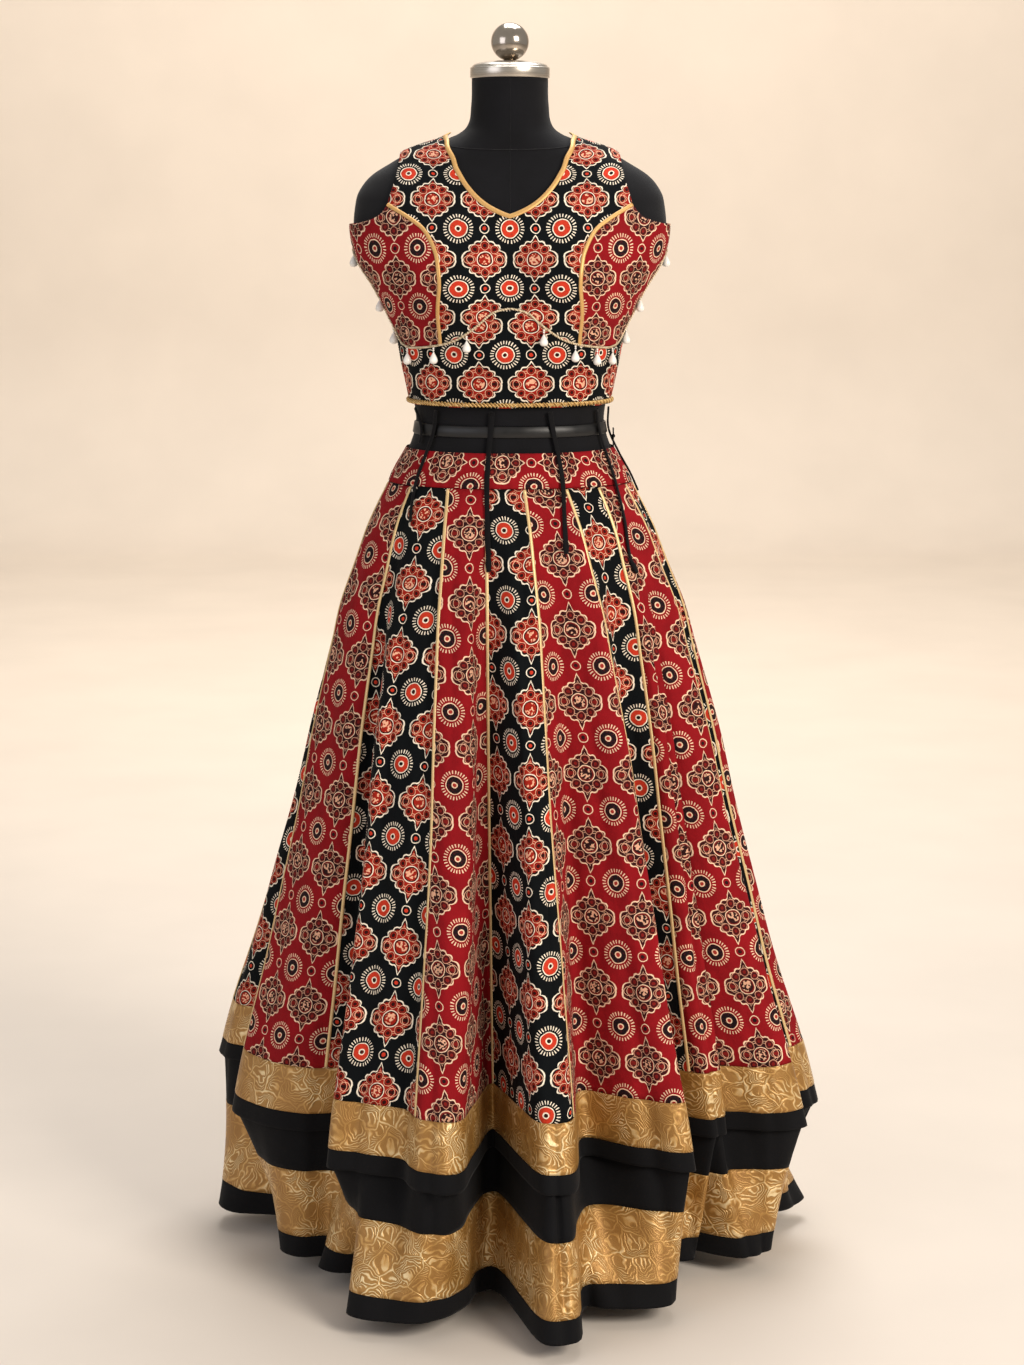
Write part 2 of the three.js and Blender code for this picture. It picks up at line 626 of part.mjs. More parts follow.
// A trim with white drops: each hangs by a short wire from a point of the line.
function dropTrim(line, hangers) {
  let solid = solidOf(trimAlong(line, DROP_TRIM));
  const base = FORM_GAP + CLOTH + TRIM_GAP;
  const { radius, tip, belly, length, hang, stand, wire, sides } = DROP;
  for (const { angle, height } of hangers) {
    const root = onForm(angle, height, base + DROP_TRIM.height / 2);
    const bead = onForm(angle, height - hang - length / 2, base + stand);
    const bottom = root.z - hang - length;
    const sections = [
      { at: 1, size: tip, z: bottom },
      { at: 1, size: radius, z: bottom + belly },
      { at: 0.9, size: wire, z: root.z - hang },
      { at: 0, size: wire, z: root.z },
    ];
    const rings = sections.map(({ at, size, z }) =>
      Array.from({ length: sides }, (_, i) => {
        const turn = (2 * Math.PI * i) / sides;
        const x = THREE.MathUtils.lerp(root.x, bead.x, at) + size * Math.cos(turn);
        return new THREE.Vector3(x, THREE.MathUtils.lerp(root.y, bead.y, at) + size * Math.sin(turn), z);
      }),
    );
    solid = solid.add(solidOf(loft(rings)));
  }
  return geometryOf(solid);
}

// All trims of the blouse.
const NECK_STEPS = { front: 16, back: 6 };
const SEAM_STEPS = 10;
const TRIM_ENDS = 79;
const BRAID_LIFT = 1;
function trims() {
  const frontNeck = evenly(FRONT_NECK, NECK_STEPS.front);
  const backNeck = evenly(BACK_NECK, NECK_STEPS.back);
  const round = (line) => line.map((p) => ({ angle: 360 - p.angle, height: p.height }));
  const neck = [
    ...frontNeck,
    ...backNeck.slice(1),
    ...reversed(round(backNeck)).slice(1),
    ...reversed(round(frontNeck)).slice(1, -1),
  ];
  add("neck_piping", trimAlong(neck, PIPING, true), GOLD_PIPING);
  const seam = evenly(PRINCESS, SEAM_STEPS).slice(1);
  add("princess_piping_front_right", trimAlong(seam, PIPING), GOLD_PIPING);
  add("princess_piping_front_left", trimAlong(mirrored(seam), PIPING), GOLD_PIPING);
  add("princess_piping_back_right", trimAlong(behind(seam), PIPING), GOLD_PIPING);
  add("princess_piping_back_left", trimAlong(mirrored(behind(seam)), PIPING), GOLD_PIPING);
  const hang = (angles) => angles.map((angle) => ({ angle, height: underbust(angle) }));
  add("underbust_trim_front", dropTrim(underbustLine(-TRIM_ENDS, TRIM_ENDS), hang(FRONT_DROPS)), WHITE_DROP);
  const backLine = underbustLine(180 - TRIM_ENDS, 180 + TRIM_ENDS);
  add("underbust_trim_back", dropTrim(backLine, hang(BACK_DROPS)), WHITE_DROP);
  const half = evenly(CUFF, CUFF_STEPS * 2).slice(1);
  const cuff = [...half, ...reversed(behind(half)).slice(1)];
  const hangers = CUFF_DROPS.map((t) => cuff[Math.round(t * (cuff.length - 1))]);
  add("cuff_trim_right", dropTrim(cuff, hangers), WHITE_DROP);
  add("cuff_trim_left", dropTrim(mirrored(cuff), mirrored(hangers)), WHITE_DROP);
  const braidHeight = BLOUSE_HEM + BRAID.width / 2 + BRAID_LIFT;
  const hem = underbustLine(-180, 179).map(({ angle }) => ({ angle, height: braidHeight }));
  add("hem_braid", trimAlong(hem, BRAID, true), GOLD_PIPING);
}

// The closed curve of a tier's hem through its fold points.
function hemCurve(folds, height) {
  const points = folds.flatMap(({ from, to, trough, lift }) =>
    [from, to, trough].map(([angle, distance]) => {
      const turn = THREE.MathUtils.degToRad(angle);
      return new THREE.Vector3(distance * Math.sin(turn), -distance * Math.cos(turn), height + lift);
    }),
  );
  return new THREE.CatmullRomCurve3(points, true, "centripetal");
}
const upperHem = hemCurve(UPPER_FOLDS, UPPER_HEM);
const lowerHem = hemCurve(LOWER_FOLDS, LOWER_HEM);
const onCurve = (curve, place) => curve.getPoint((((place % TURN) + TURN) % TURN) / TURN);

// The value at x of straight lines between the points (xs, ys), which go on round after a whole turn of both.
function around(xs, ys, x) {
  const last = xs.length - 1;
  const turns = Math.floor((x - xs[0]) / (xs[last] - xs[0]));
  const wrapped = x - turns * (xs[last] - xs[0]);
  const i = Math.max(0, xs.findIndex((value) => value > wrapped) - 1);
  return THREE.MathUtils.mapLinear(wrapped, xs[i], xs[i + 1], ys[i], ys[i + 1]) + turns * (ys[last] - ys[0]);
}
const closed = (values, turn) => [...values, values[0] + turn];
const seamTable = [...SEAMS, { waist: SEAMS[0].waist + 360, hem: SEAMS[0].hem + TURN }];
const [seamWaists, seamHems] = [seamTable.map(({ waist }) => waist), seamTable.map(({ hem }) => hem)];
const waistAngle = (place) => around(seamHems, seamWaists, place);
const hemPlace = (angle) => around(seamWaists, seamHems, angle);

// The place on the lower hem at the same angle as a place on the upper one, so that the flounce falls
// straight out.
const places = closed(Array.from({ length: TURN }, (_, i) => i), TURN);
const anglesOf = ({ from, to, trough }) => [from[0], to[0], trough[0]];
const foldAngles = (folds) => closed(folds.flatMap(anglesOf), 360);
const [upperAngles, lowerAngles] = [foldAngles(UPPER_FOLDS), foldAngles(LOWER_FOLDS)];
const lowerPlace = (place) => around(lowerAngles, places, around(places, upperAngles, place));

// A point of the upper tier at a place round the hem and a level between the waist seam and the upper hem:
// the waist and the hem's mean line are blended by the spread, and the folds open later.
function upperSkirt(place, height) {
  const spread = smoothAt(SPREAD, "height", "share", height);
  const waist = onForm(waistAngle(place), WAIST_SEAM, WAIST_GAP + SKIRT_CLOTH);
  const hem = onCurve(upperHem, place);
  const distance = Math.hypot(hem.x, hem.y);
  const depth = hem.y < 0 ? HEM_MEAN.front : HEM_MEAN.back;
  const mean = 1 / Math.hypot(hem.x / distance / HEM_MEAN.side, hem.y / distance / depth) / distance;
  const fold = spread ** FOLD_GROWTH;
  const down = (WAIST_SEAM - height) / (WAIST_SEAM - UPPER_HEM);
  return new THREE.Vector3(
    THREE.MathUtils.lerp(waist.x, hem.x * mean, spread) + hem.x * (1 - mean) * fold,
    THREE.MathUtils.lerp(waist.y, hem.y * mean, spread) + hem.y * (1 - mean) * fold,
    height + (hem.z - UPPER_HEM) * down * down,
  );
}

// A point of the flounce under it, which follows the upper tier on the inside down to its hem, and then its
// own folds.
const FLOUNCE_INSIDE = { top: SKIRT_CLOTH + SEAM_GAP, hem: 7 };
const LEVEL_REACH = 1;
function flounce(place, height) {
  const level = Math.max(height, UPPER_HEM);
  const share = (FLOUNCE_TOP - level) / (FLOUNCE_TOP - UPPER_HEM);
  const inside = THREE.MathUtils.lerp(FLOUNCE_INSIDE.top, FLOUNCE_INSIDE.hem, share);
  const normal = facing(upperSkirt, place, level, FOLD_REACH, -LEVEL_REACH);
  const start = upperSkirt(place, level).addScaledVector(normal, inside);
  if (height >= UPPER_HEM) return start;
  return start.lerp(onCurve(lowerHem, lowerPlace(place)), (UPPER_HEM - height) / (UPPER_HEM - LOWER_HEM));
}

// A stretch of a skirt surface as a wall of cloth.
function skirtWall(surface, places, heights, ring = false) {
  const outer = heights.map((height) => places.map((place) => surface(place, height)));
  const inward = (place, height) => facing(surface, place, height, FOLD_REACH, -LEVEL_REACH);
  const inner = heights.map((height) =>
    places.map((place) => surface(place, height).addScaledVector(inward(place, height), SKIRT_CLOTH)),
  );
  return wall([...outer].reverse(), [...inner].reverse(), ring, PANEL_GAP);
}

// The places across one panel of the skirt, from its left seam to its right one.
function panelPlaces(k) {
  const [from, to] = [seamTable[k].hem, seamTable[k + 1].hem];
  const steps = Math.max(FEWEST_COLUMNS, Math.round((to - from) / COLUMN_STEP));
  return Array.from({ length: steps + 1 }, (_, i) => THREE.MathUtils.lerp(from, to, i / steps));
}

// The skirt: waistband, eighteen panels, the borders and bindings of both tiers, and the flounce.
function lehenga() {
  const angles = Array.from({ length: WAIST_COLUMNS }, (_, i) => (360 * i) / WAIST_COLUMNS);
  const band = (proud) =>
    [WAIST_SEAM, WAIST_TOP].map((level) => angles.map((angle) => onForm(angle, level, proud)));
  add("lehenga_waistband", wall(band(WAIST_GAP + SKIRT_CLOTH), band(WAIST_GAP), true), RED_PRINT);
  SEAMS.forEach((_, k) => {
    const finish = k % 2 ? RED_PRINT : BLACK_PRINT;
    const name = "lehenga_panel_" + String(k + 1).padStart(2, "0");
    add(name, skirtWall(upperSkirt, panelPlaces(k), PANEL_ROWS), finish);
  });
  const round = SEAMS.flatMap((_, k) => panelPlaces(k).slice(0, -1));
  const borderTop = PANEL_ROWS[PANEL_ROWS.length - 1];
  const bindingTop = UPPER_HEM + UPPER_BINDING;
  const flounceEnd = LOWER_HEM + LOWER_BINDING + LOWER_BORDER;
  const rings = [
    ["upper_border", upperSkirt, [borderTop - RING_GAP, bindingTop], GOLD_BROCADE],
    ["upper_binding", upperSkirt, [bindingTop - RING_GAP, UPPER_HEM], BLACK_CLOTH],
    ["lower_flounce", flounce, [FLOUNCE_TOP, borderTop, UPPER_HEM, flounceEnd], BLACK_CLOTH],
    ["lower_border", flounce, [flounceEnd - RING_GAP, LOWER_HEM + LOWER_BINDING], GOLD_BROCADE],
    ["lower_binding", flounce, [LOWER_HEM + LOWER_BINDING - RING_GAP, LOWER_HEM], BLACK_CLOTH],
  ];
  for (const [name, surface, heights, finish] of rings) {
    add(name, skirtWall(surface, round, heights, true), finish);
  }
}

// A tie's centre line: on the form under the blouse, past the waistband, and then on the skirt's flat facets.
const FREE_ABOVE = WAIST_TOP + 20;
function tieRoute(points) {
  const rest = TIE.radius + TIE.gap;
  return points.map(([angle, height]) => {
    if (height > FREE_ABOVE) return onForm(angle, height, FORM_GAP + TIE.radius);
    if (height >= WAIST_SEAM) return onForm(angle, height, WAIST_GAP + SKIRT_CLOTH + rest);
    const place = hemPlace(angle);
    const row = PANEL_ROWS.findIndex((level) => level < height);
    const [above, below] = [PANEL_ROWS[row - 1], PANEL_ROWS[row]];
    const outward = facing(upperSkirt, place, height, FOLD_REACH, -LEVEL_REACH).negate();
    const facet = upperSkirt(place, above).lerp(upperSkirt(place, below), (above - height) / (above - below));
    return facet.addScaledVector(outward, rest);
  });
}

// The ties: round cords that leave the blouse's hem, fall clear of the waist and lie on the skirt.
function ties() {
  const corner = (i) => (2 * Math.PI * i) / TIE.sides;
  const section = new THREE.Shape(
    Array.from({ length: TIE.sides }, (_, i) => new THREE.Vector2(Math.cos(corner(i)), Math.sin(corner(i))))
      .map((point) => point.multiplyScalar(TIE.radius)),
  );
  for (const { name, knotted, points } of TIES) {
    const route = tieRoute(points);
    const extrudePath = new THREE.CatmullRomCurve3(route, false, "centripetal");
    const steps = Math.ceil(extrudePath.getLength() / TIE.step);
    let solid = solidOf(new THREE.ExtrudeGeometry(section, { extrudePath, steps, bevelEnabled: false }));
    if (knotted) {
      const end = route[route.length - 1];
      const away = new THREE.Vector3(end.x, end.y, 0).normalize().multiplyScalar(TIE.knot - TIE.radius);
      const { x, y, z } = end.clone().add(away);
      solid = solid.add(solidOf(new THREE.IcosahedronGeometry(TIE.knot, 1).translate(x, y, z)));
    }
    add(name, geometryOf(solid), BLACK_CLOTH);
  }
}

dressForm();
blouse();
trims();
lehenga();
ties();

export default group;
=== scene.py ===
"""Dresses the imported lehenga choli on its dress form: printed cotton, brocade, piping, drops, ties and metal.

Shapes are worked out in millimetres and turned to metres as they become meshes. Angles are degrees round
the body, 0 at the front and 90 towards +X. A place counts round the skirt's hem, three points to a fold.
"""

from __future__ import annotations

import logging
import math
from dataclasses import dataclass, field
from enum import Enum
from typing import Any, Callable, Sequence

import bpy
import numpy as np
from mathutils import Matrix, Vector

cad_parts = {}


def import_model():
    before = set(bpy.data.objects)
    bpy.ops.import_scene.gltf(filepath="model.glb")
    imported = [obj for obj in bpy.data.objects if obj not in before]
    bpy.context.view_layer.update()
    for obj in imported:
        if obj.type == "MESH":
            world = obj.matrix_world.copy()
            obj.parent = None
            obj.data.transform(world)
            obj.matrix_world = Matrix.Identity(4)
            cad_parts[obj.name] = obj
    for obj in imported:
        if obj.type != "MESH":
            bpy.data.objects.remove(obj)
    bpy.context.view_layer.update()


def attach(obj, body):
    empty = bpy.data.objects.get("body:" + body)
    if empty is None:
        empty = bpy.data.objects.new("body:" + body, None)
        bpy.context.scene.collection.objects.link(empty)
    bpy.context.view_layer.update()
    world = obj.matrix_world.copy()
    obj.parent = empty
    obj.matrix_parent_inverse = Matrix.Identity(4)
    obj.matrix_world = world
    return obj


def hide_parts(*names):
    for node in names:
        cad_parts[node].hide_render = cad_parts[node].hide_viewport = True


LOG = logging.getLogger("lehenga_choli")
Array = np.ndarray
Surface = Callable[[Array, Array], Array]
MM = 0.001
BODY = "root"
CLOTH_UV = "cloth"

# Room between the form and the cloth, and the cloth's own thickness, in millimetres.
BLOUSE_OUT = 5.2
WAIST_OUT = 3.1
COTTON = 1.0
BROCADE = 1.4

# Heights of the skirt's levels, in millimetres.
WAIST_TOP = 1027.0
WAIST_SEAM = 985.0
FLOUNCE_TOP = 370.0
BORDER_TOP = 266.0
UPPER_HEM = 185.0
UPPER_BINDING = 23.0
LOWER_HEM = 25.0
LOWER_BINDING = 26.0
LOWER_BORDER = 82.0
BLOUSE_HEM = 1083.0

# The form's horizontal sections: height, half the width, depth in front, depth behind, squareness.
FORM_SECTIONS = np.array([
    (800, 160, 98, 106, 2.1),
    (860, 171, 102, 116, 2.1),
    (930, 163, 100, 108, 2.1),
    (985, 147, 96, 93, 2.1),
    (1027, 125, 88, 80, 2.1),
    (1056, 116, 85, 76, 2.1),
    (1083, 118, 87, 77, 2.1),
    (1120, 126, 95, 80, 2.1),
    (1160, 134, 103, 84, 2.15),
    (1195, 147, 106, 88, 2.3),
    (1226, 163, 106, 91, 2.5),
    (1256, 181, 104, 94, 2.6),
    (1290, 190, 98, 96, 2.5),
    (1328, 187, 85, 94, 2.2),
    (1342, 181, 79, 91, 2.1),
    (1357, 168, 72, 86, 2.0),
    (1371, 146, 65, 79, 2.0),
    (1385, 120, 59, 71, 2.0),
    (1400, 76, 54, 61, 2.0),
    (1414, 53, 51, 55, 2.0),
    (1440, 47, 50, 52, 2.0),
    (1472, 46, 50, 51, 2.0),
], float)
BUST_ASIDE, BUST_HEIGHT, BUST_REACH, BUST_DEPTH = 78.0, 1236.0, 42.0, 22.0

# Each tier's folds, as crest start, crest end and trough, each an angle and a distance, and the hem's lift.
UPPER_FOLDS = (
    (-107, 392, -100, 380, -93, 300, 36),
    (-82, 352, -62, 292, -55, 232, 4),
    (-41.5, 333, -34, 326, -25, 320, 0),
    (-17, 352, -10, 348, -6, 180, 0),
    (7, 350, 11.5, 352, 23, 234, 0),
    (33, 302, 39.5, 346, 57, 205, 0),
    (60, 292, 63, 300, 66, 288, 0),
    (69, 350, 75, 382, 80, 338, 0),
    (85, 384, 90, 396, 97, 300, 2),
    (106, 360, 113, 378, 121, 265, 6),
    (131, 350, 138, 362, 146, 255, 4),
    (156, 360, 164, 372, 172, 262, 0),
    (182, 350, 189, 365, 198, 258, 4),
    (208, 362, 215, 374, 224, 260, 8),
    (231, 364, 237, 368, 244, 300, 24),
)
LOWER_FOLDS = (
    (-101, 385, -92, 364, -86, 275, 2),
    (-69, 306, -63, 298, -59, 268, 0),
    (-55, 290, -50, 286, -41, 250, 0),
    (-31, 372, -15, 352, -5, 243, 0),
    (6.5, 403, 11.5, 400, 17, 300, -3),
    (22, 325, 34, 348, 49, 236, 0),
    (55, 264, 59, 270, 63, 240, 0),
    (64.5, 322, 71, 347, 80, 262, 0),
    (96, 378, 101, 392, 108, 290, 2),
    (116, 362, 122, 375, 129, 262, 0),
    (137, 352, 143, 365, 150, 250, 2),
    (159, 365, 166, 376, 174, 258, 0),
    (183, 352, 190, 368, 199, 252, 2),
    (208, 365, 215, 378, 224, 256, 0),
    (233, 366, 240, 376, 247, 300, 2),
)
TURN = 3 * len(UPPER_FOLDS)

# How the skirt spreads from its waist seam to its upper hem: height and share.
SPREAD = np.array([
    (185, 1.0), (264, 0.925), (370, 0.8), (476, 0.69), (580, 0.575), (683, 0.475), (785, 0.36), (835, 0.305),
    (886, 0.215), (936, 0.125), (985, 0.0),
])
FOLD_GROWTH = 1.5
FOLD_REACH = 0.35
MEAN_SIDE, MEAN_FRONT, MEAN_BACK = 335.0, 300.0, 312.0
FLOUNCE_IN_TOP, FLOUNCE_IN_HEM = 2.4, 7.0

# Seams between the skirt's panels: waist angle and place on the hem.
SEAMS = np.array([
    (-105, 0.6), (-85, 3), (-53, 4.3), (-29, 8.7), (-10, 11), (6, 13.2), (26, 16.2), (45, 17.7), (70, 22.1),
    (87, 23.8), (105, 26.2), (123.8, 28.6), (142.5, 31), (161.3, 33.5), (180, 35.9),
    (198.8, 38.3), (217.5, 40.8),
    (236.3, 43.2), (255, 45.6),
])

# Lines on the right half of the blouse: angle and height.
FRONT_NECK = ((0, 1307.5), (6.5, 1320), (11.1, 1331), (16.2, 1344.6), (22.4, 1360.5),
              (31.4, 1379), (48, 1392),
              (90, 1402))
BACK_NECK = ((90, 1402), (122, 1390), (142, 1374), (160, 1360), (180, 1355))
PRINCESS = ((35.5, 1160), (31.5, 1195), (24.5, 1229), (22, 1250), (22.2, 1268),
            (27, 1292), (35, 1306), (47.5, 1321))
STRAP = ((47.5, 1321), (49, 1343), (55, 1361), (70, 1375), (90, 1383))
UNDERBUST = ((0, 1203), (6, 1198), (12, 1186), (18, 1176), (24, 1168), (30, 1163), (35.5, 1160), (44, 1157),
             (53, 1155), (62, 1155), (72, 1163), (79, 1190), (90, 1198), (101, 1190),
             (108, 1163), (118, 1155),
             (127, 1155), (136, 1157), (144.5, 1160), (156, 1160), (168, 1160), (180, 1160))
SLEEVE_TOP = ((47.5, 1321), (51, 1310), (58, 1303), (67, 1300), (90, 1299))
CUFF = ((79, 1190), (78.5, 1215), (79, 1240), (82, 1261), (90, 1270))


def smooth_at(xs: Array, ys: Array, x: Array) -> Array:
    """The value at x of a smooth curve through a table: a cubic with slopes taken from the neighbours.

    Args:
        xs: The table's rising keys.
        ys: The table's values.
        x: Where the curve is read.

    Returns:
        The values, shaped as x.
    """
    x = np.asarray(x, float)
    i = np.clip(np.searchsorted(xs, x, side="left") - 1, 0, len(xs) - 2)
    slopes = np.empty(len(xs))
    slopes[1:-1] = (ys[2:] - ys[:-2]) / (xs[2:] - xs[:-2])
    slopes[0] = (ys[1] - ys[0]) / (xs[1] - xs[0])
    slopes[-1] = (ys[-1] - ys[-2]) / (xs[-1] - xs[-2])
    step = xs[i + 1] - xs[i]
    t = np.clip((x - xs[i]) / step, 0, 1)
    t2, t3 = t * t, t * t * t
    return ((2 * t3 - 3 * t2 + 1) * ys[i] + (t3 - 2 * t2 + t) * step * slopes[i]
            + (3 * t2 - 2 * t3) * ys[i + 1] + (t3 - t2) * step * slopes[i + 1])


def unit(vectors: Array) -> Array:
    """Vectors scaled to length one, each divided by its own length."""
    return vectors / np.maximum(np.linalg.norm(vectors, axis=-1, keepdims=True), 1e-9)


def facing(surface: Surface, a: Array, b: Array, da: float, db: float) -> Array:
    """The direction a surface faces: the cross product of its steps along a and along b.

    Args:
        surface: The function of two parameters.
        a: First parameter.
        b: Second parameter.
        da: Half the step taken along a.
        db: Half the step taken along b.

    Returns:
        Unit vectors.
    """
    across = surface(a + da, b) - surface(a - da, b)
    along = surface(a, b + db) - surface(a, b - db)
    return unit(np.cross(across, along))


def skin(angle: Array, height: Array) -> Array:
    """The dress form's skin: an ellipse-like section for each height, with two soft domes for the bust.

    Args:
        angle: Degrees round the form.
        height: Millimetres above the floor.

    Returns:
        Points in millimetres.
    """
    angle, height = np.broadcast_arrays(np.asarray(angle, float), np.asarray(height, float))
    heights = FORM_SECTIONS[:, 0]
    side, front, back, square = (smooth_at(heights, FORM_SECTIONS[:, k], height) for k in (1, 2, 3, 4))
    s, c = np.sin(np.radians(angle)), np.cos(np.radians(angle))
    bend = 2 / square
    x = side * np.sign(s) * np.abs(s) ** bend
    y = -np.where(c > 0, front, back) * np.sign(c) * np.abs(c) ** bend
    for half in (-1, 1):
        away = ((x - half * BUST_ASIDE) ** 2 + (height - BUST_HEIGHT) ** 2) / (2 * BUST_REACH**2)
        y = y - BUST_DEPTH * np.sqrt(np.clip(c, 0, None)) * np.exp(-away)
    return np.stack([x, y, height], -1)


def on_form(angle: Array, height: Array, out: float | Array) -> Array:
    """Points that stand off the form's skin: the skin plus its normal times the distance out."""
    angle, height = np.broadcast_arrays(np.asarray(angle, float), np.asarray(height, float))
    out = np.asarray(out, float)
    return skin(angle, height) + facing(skin, angle, height, 0.5, 0.5) * (out[..., None] if out.ndim else out)


class ClosedCurve:
    """A closed smooth curve through points, with knots spaced by the square root of their distance."""

    def __init__(self, folds: Sequence[Sequence[float]], height: float) -> None:
        """Takes the hem's folds.

        Args:
            folds: Rows of crest start, crest end and trough, each an angle and a distance, then the lift.
            height: The hem's height in millimetres.
        """
        rows = [(a, r, row[6]) for row in folds for a, r in zip(row[0:6:2], row[1:6:2])]
        turn = np.radians([a for a, _, _ in rows])
        radius = np.array([r for _, r, _ in rows], float)
        self.points = np.stack([radius * np.sin(turn), -radius * np.cos(turn),
                                height + np.array([lift for _, _, lift in rows], float)], -1)

    def at(self, place: Array) -> Array:
        """The curve's points at places counted in its own points: one cubic for each stretch."""
        n = len(self.points)
        place = np.mod(np.asarray(place, float), n)
        i = np.floor(place).astype(int)
        w = (place - i)[..., None]
        p0, p1, p2, p3 = (self.points[(i + k) % n] for k in (-1, 0, 1, 2))
        d0, d1, d2 = (np.sum((b - a) ** 2, -1, keepdims=True) ** 0.25
                      for a, b in ((p0, p1), (p1, p2), (p2, p3)))
        t1 = ((p1 - p0) / d0 - (p2 - p0) / (d0 + d1) + (p2 - p1) / d1) * d1
        t2 = ((p2 - p1) / d1 - (p3 - p1) / (d1 + d2) + (p3 - p2) / d2) * d1
        return (p1 + t1 * w + (-3 * p1 + 3 * p2 - 2 * t1 - t2) * w**2 + (2 * p1 - 2 * p2 + t1 + t2) * w**3)


UPPER_CURVE = ClosedCurve(UPPER_FOLDS, UPPER_HEM)
LOWER_CURVE = ClosedCurve(LOWER_FOLDS, LOWER_HEM)


def waist_angle(place: Array) -> Array:
    """The angle at the waist that belongs to a place on the hem, straight between the seams."""
    start = SEAMS[0, 1]
    return np.interp(np.mod(np.asarray(place, float) - start, TURN) + start, SEAMS[:, 1], SEAMS[:, 0])


def hem_place(angle: float) -> float:
    """The place on the hem that belongs to an angle at the waist."""
    start = SEAMS[0, 0]
    return float(np.interp(np.mod(angle - start, 360) + start, SEAMS[:, 0], SEAMS[:, 1]))


def around(xs: Array, ys: Array, x: Array) -> Array:
    """Straight lines between the points (xs, ys), which go on round after a whole turn of both."""
    turns = np.floor((x - xs[0]) / (xs[-1] - xs[0]))
    return np.interp(x - turns * (xs[-1] - xs[0]), xs, ys) + turns * (ys[-1] - ys[0])


def fold_angles(folds: Sequence[Sequence[float]]) -> Array:
    """The angles of a hem's points in order, closed by the first one a turn later."""
    angles = [row[k] for row in folds for k in (0, 2, 4)]
    return np.array([*angles, angles[0] + 360], float)


def lower_place(place: Array) -> Array:
    """The place on the lower hem at the same angle as one on the upper: the flounce falls straight out."""
    places = np.arange(TURN + 1, dtype=float)
    angle = around(places, fold_angles(UPPER_FOLDS), np.asarray(place, float))
    return around(fold_angles(LOWER_FOLDS), places, angle)


def upper_skirt(place: Array, height: Array) -> Array:
    """The upper tier: the waist blended into the hem's mean line by the spread, and folds that open later.

    Args:
        place: Places round the hem.
        height: Levels in millimetres.

    Returns:
        Points in millimetres.
    """
    place, height = np.broadcast_arrays(np.asarray(place, float), np.asarray(height, float))
    spread = smooth_at(SPREAD[:, 0], SPREAD[:, 1], height)
    waist = on_form(waist_angle(place), np.full(place.shape, WAIST_SEAM), WAIST_OUT)
    hem = UPPER_CURVE.at(place)
    distance = np.hypot(hem[..., 0], hem[..., 1])
    depth = np.where(hem[..., 1] < 0, MEAN_FRONT, MEAN_BACK)
    mean = 1 / np.hypot(hem[..., 0] / distance / MEAN_SIDE, hem[..., 1] / distance / depth) / distance
    fold = np.clip(spread, 0, None) ** FOLD_GROWTH
    down = (WAIST_SEAM - height) / (WAIST_SEAM - UPPER_HEM)
    flat = [waist[..., k] * (1 - spread) + hem[..., k] * mean * spread + hem[..., k] * (1 - mean) * fold
            for k in (0, 1)]
    return np.stack([*flat, height + (hem[..., 2] - UPPER_HEM) * down * down], -1)


def flounce(place: Array, height: Array) -> Array:
    """The lower tier: inside the upper tier down to its hem, then straight on to its own folds.

    Args:
        place: Places round the hem.
        height: Levels in millimetres.

    Returns:
        Points in millimetres.
    """
    place, height = np.broadcast_arrays(np.asarray(place, float), np.asarray(height, float))
    level = np.maximum(height, UPPER_HEM)
    share = (FLOUNCE_TOP - level) / (FLOUNCE_TOP - UPPER_HEM)
    inside = FLOUNCE_IN_TOP + (FLOUNCE_IN_HEM - FLOUNCE_IN_TOP) * share
    start = upper_skirt(place, level) + facing(upper_skirt, place, level, FOLD_REACH,
                                               -1.0) * inside[..., None]
    down = np.clip((UPPER_HEM - height) / (UPPER_HEM - LOWER_HEM), 0, 1)[..., None]
    return start * (1 - down) + LOWER_CURVE.at(lower_place(place)) * down


@dataclass(frozen=True)
class Creases:
    """Soft uneven creases down the cloth: waves round the skirt with round crests and narrow valleys."""

    seed: int
    waves: tuple[tuple[int, float], ...]
    gather: float = 0.0

    def lift(self, place: Array, height: Array) -> Array:
        """How far the cloth stands out, in millimetres: waves that each fade in and out at random heights.

        Args:
            place: Places round the hem.
            height: Levels in millimetres.

        Returns:
            The lift at each point.
        """
        rng = np.random.default_rng(self.seed)
        turn = 2 * np.pi * place / TURN
        total = np.zeros(np.broadcast(place, height).shape)
        for count, size in self.waves:
            phase, drift, beat, late = rng.uniform(0, 2 * np.pi, 4)
            slow = 0.55 + 0.45 * np.sin((3 + count % 5) * turn + beat + height / 140.0)
            sway = count * turn + phase + 0.6 * np.sin(height / 120.0 + drift) + late
            total += size * slow * (2 * np.sqrt(np.sin(sway / 2) ** 2 + 0.03) - 1.2)
        if self.gather:
            near = np.exp(-(WAIST_SEAM - height) / 60.0)
            total += self.gather * near * (np.sin(109 * turn) + 0.6 * np.sin(173 * turn + 1.0))
        return total


SKIRT_CREASES = Creases(7, ((22, 5.5), (38, 3.6), (54, 1.8), (84, 0.8)), gather=0.7)


def creased(surface: Surface, place: Array, height: Array) -> Array:
    """A skirt surface with its creases: moved out by their lift, which fades to nothing at the waist."""
    place, height = np.broadcast_arrays(np.asarray(place, float), np.asarray(height, float))
    out = -facing(surface, place, height, FOLD_REACH, -1.0)
    fade = np.clip((WAIST_SEAM - height) / 330.0, 0.1, 1.0)
    return surface(place, height) + out * (SKIRT_CREASES.lift(place, height) * fade)[..., None]


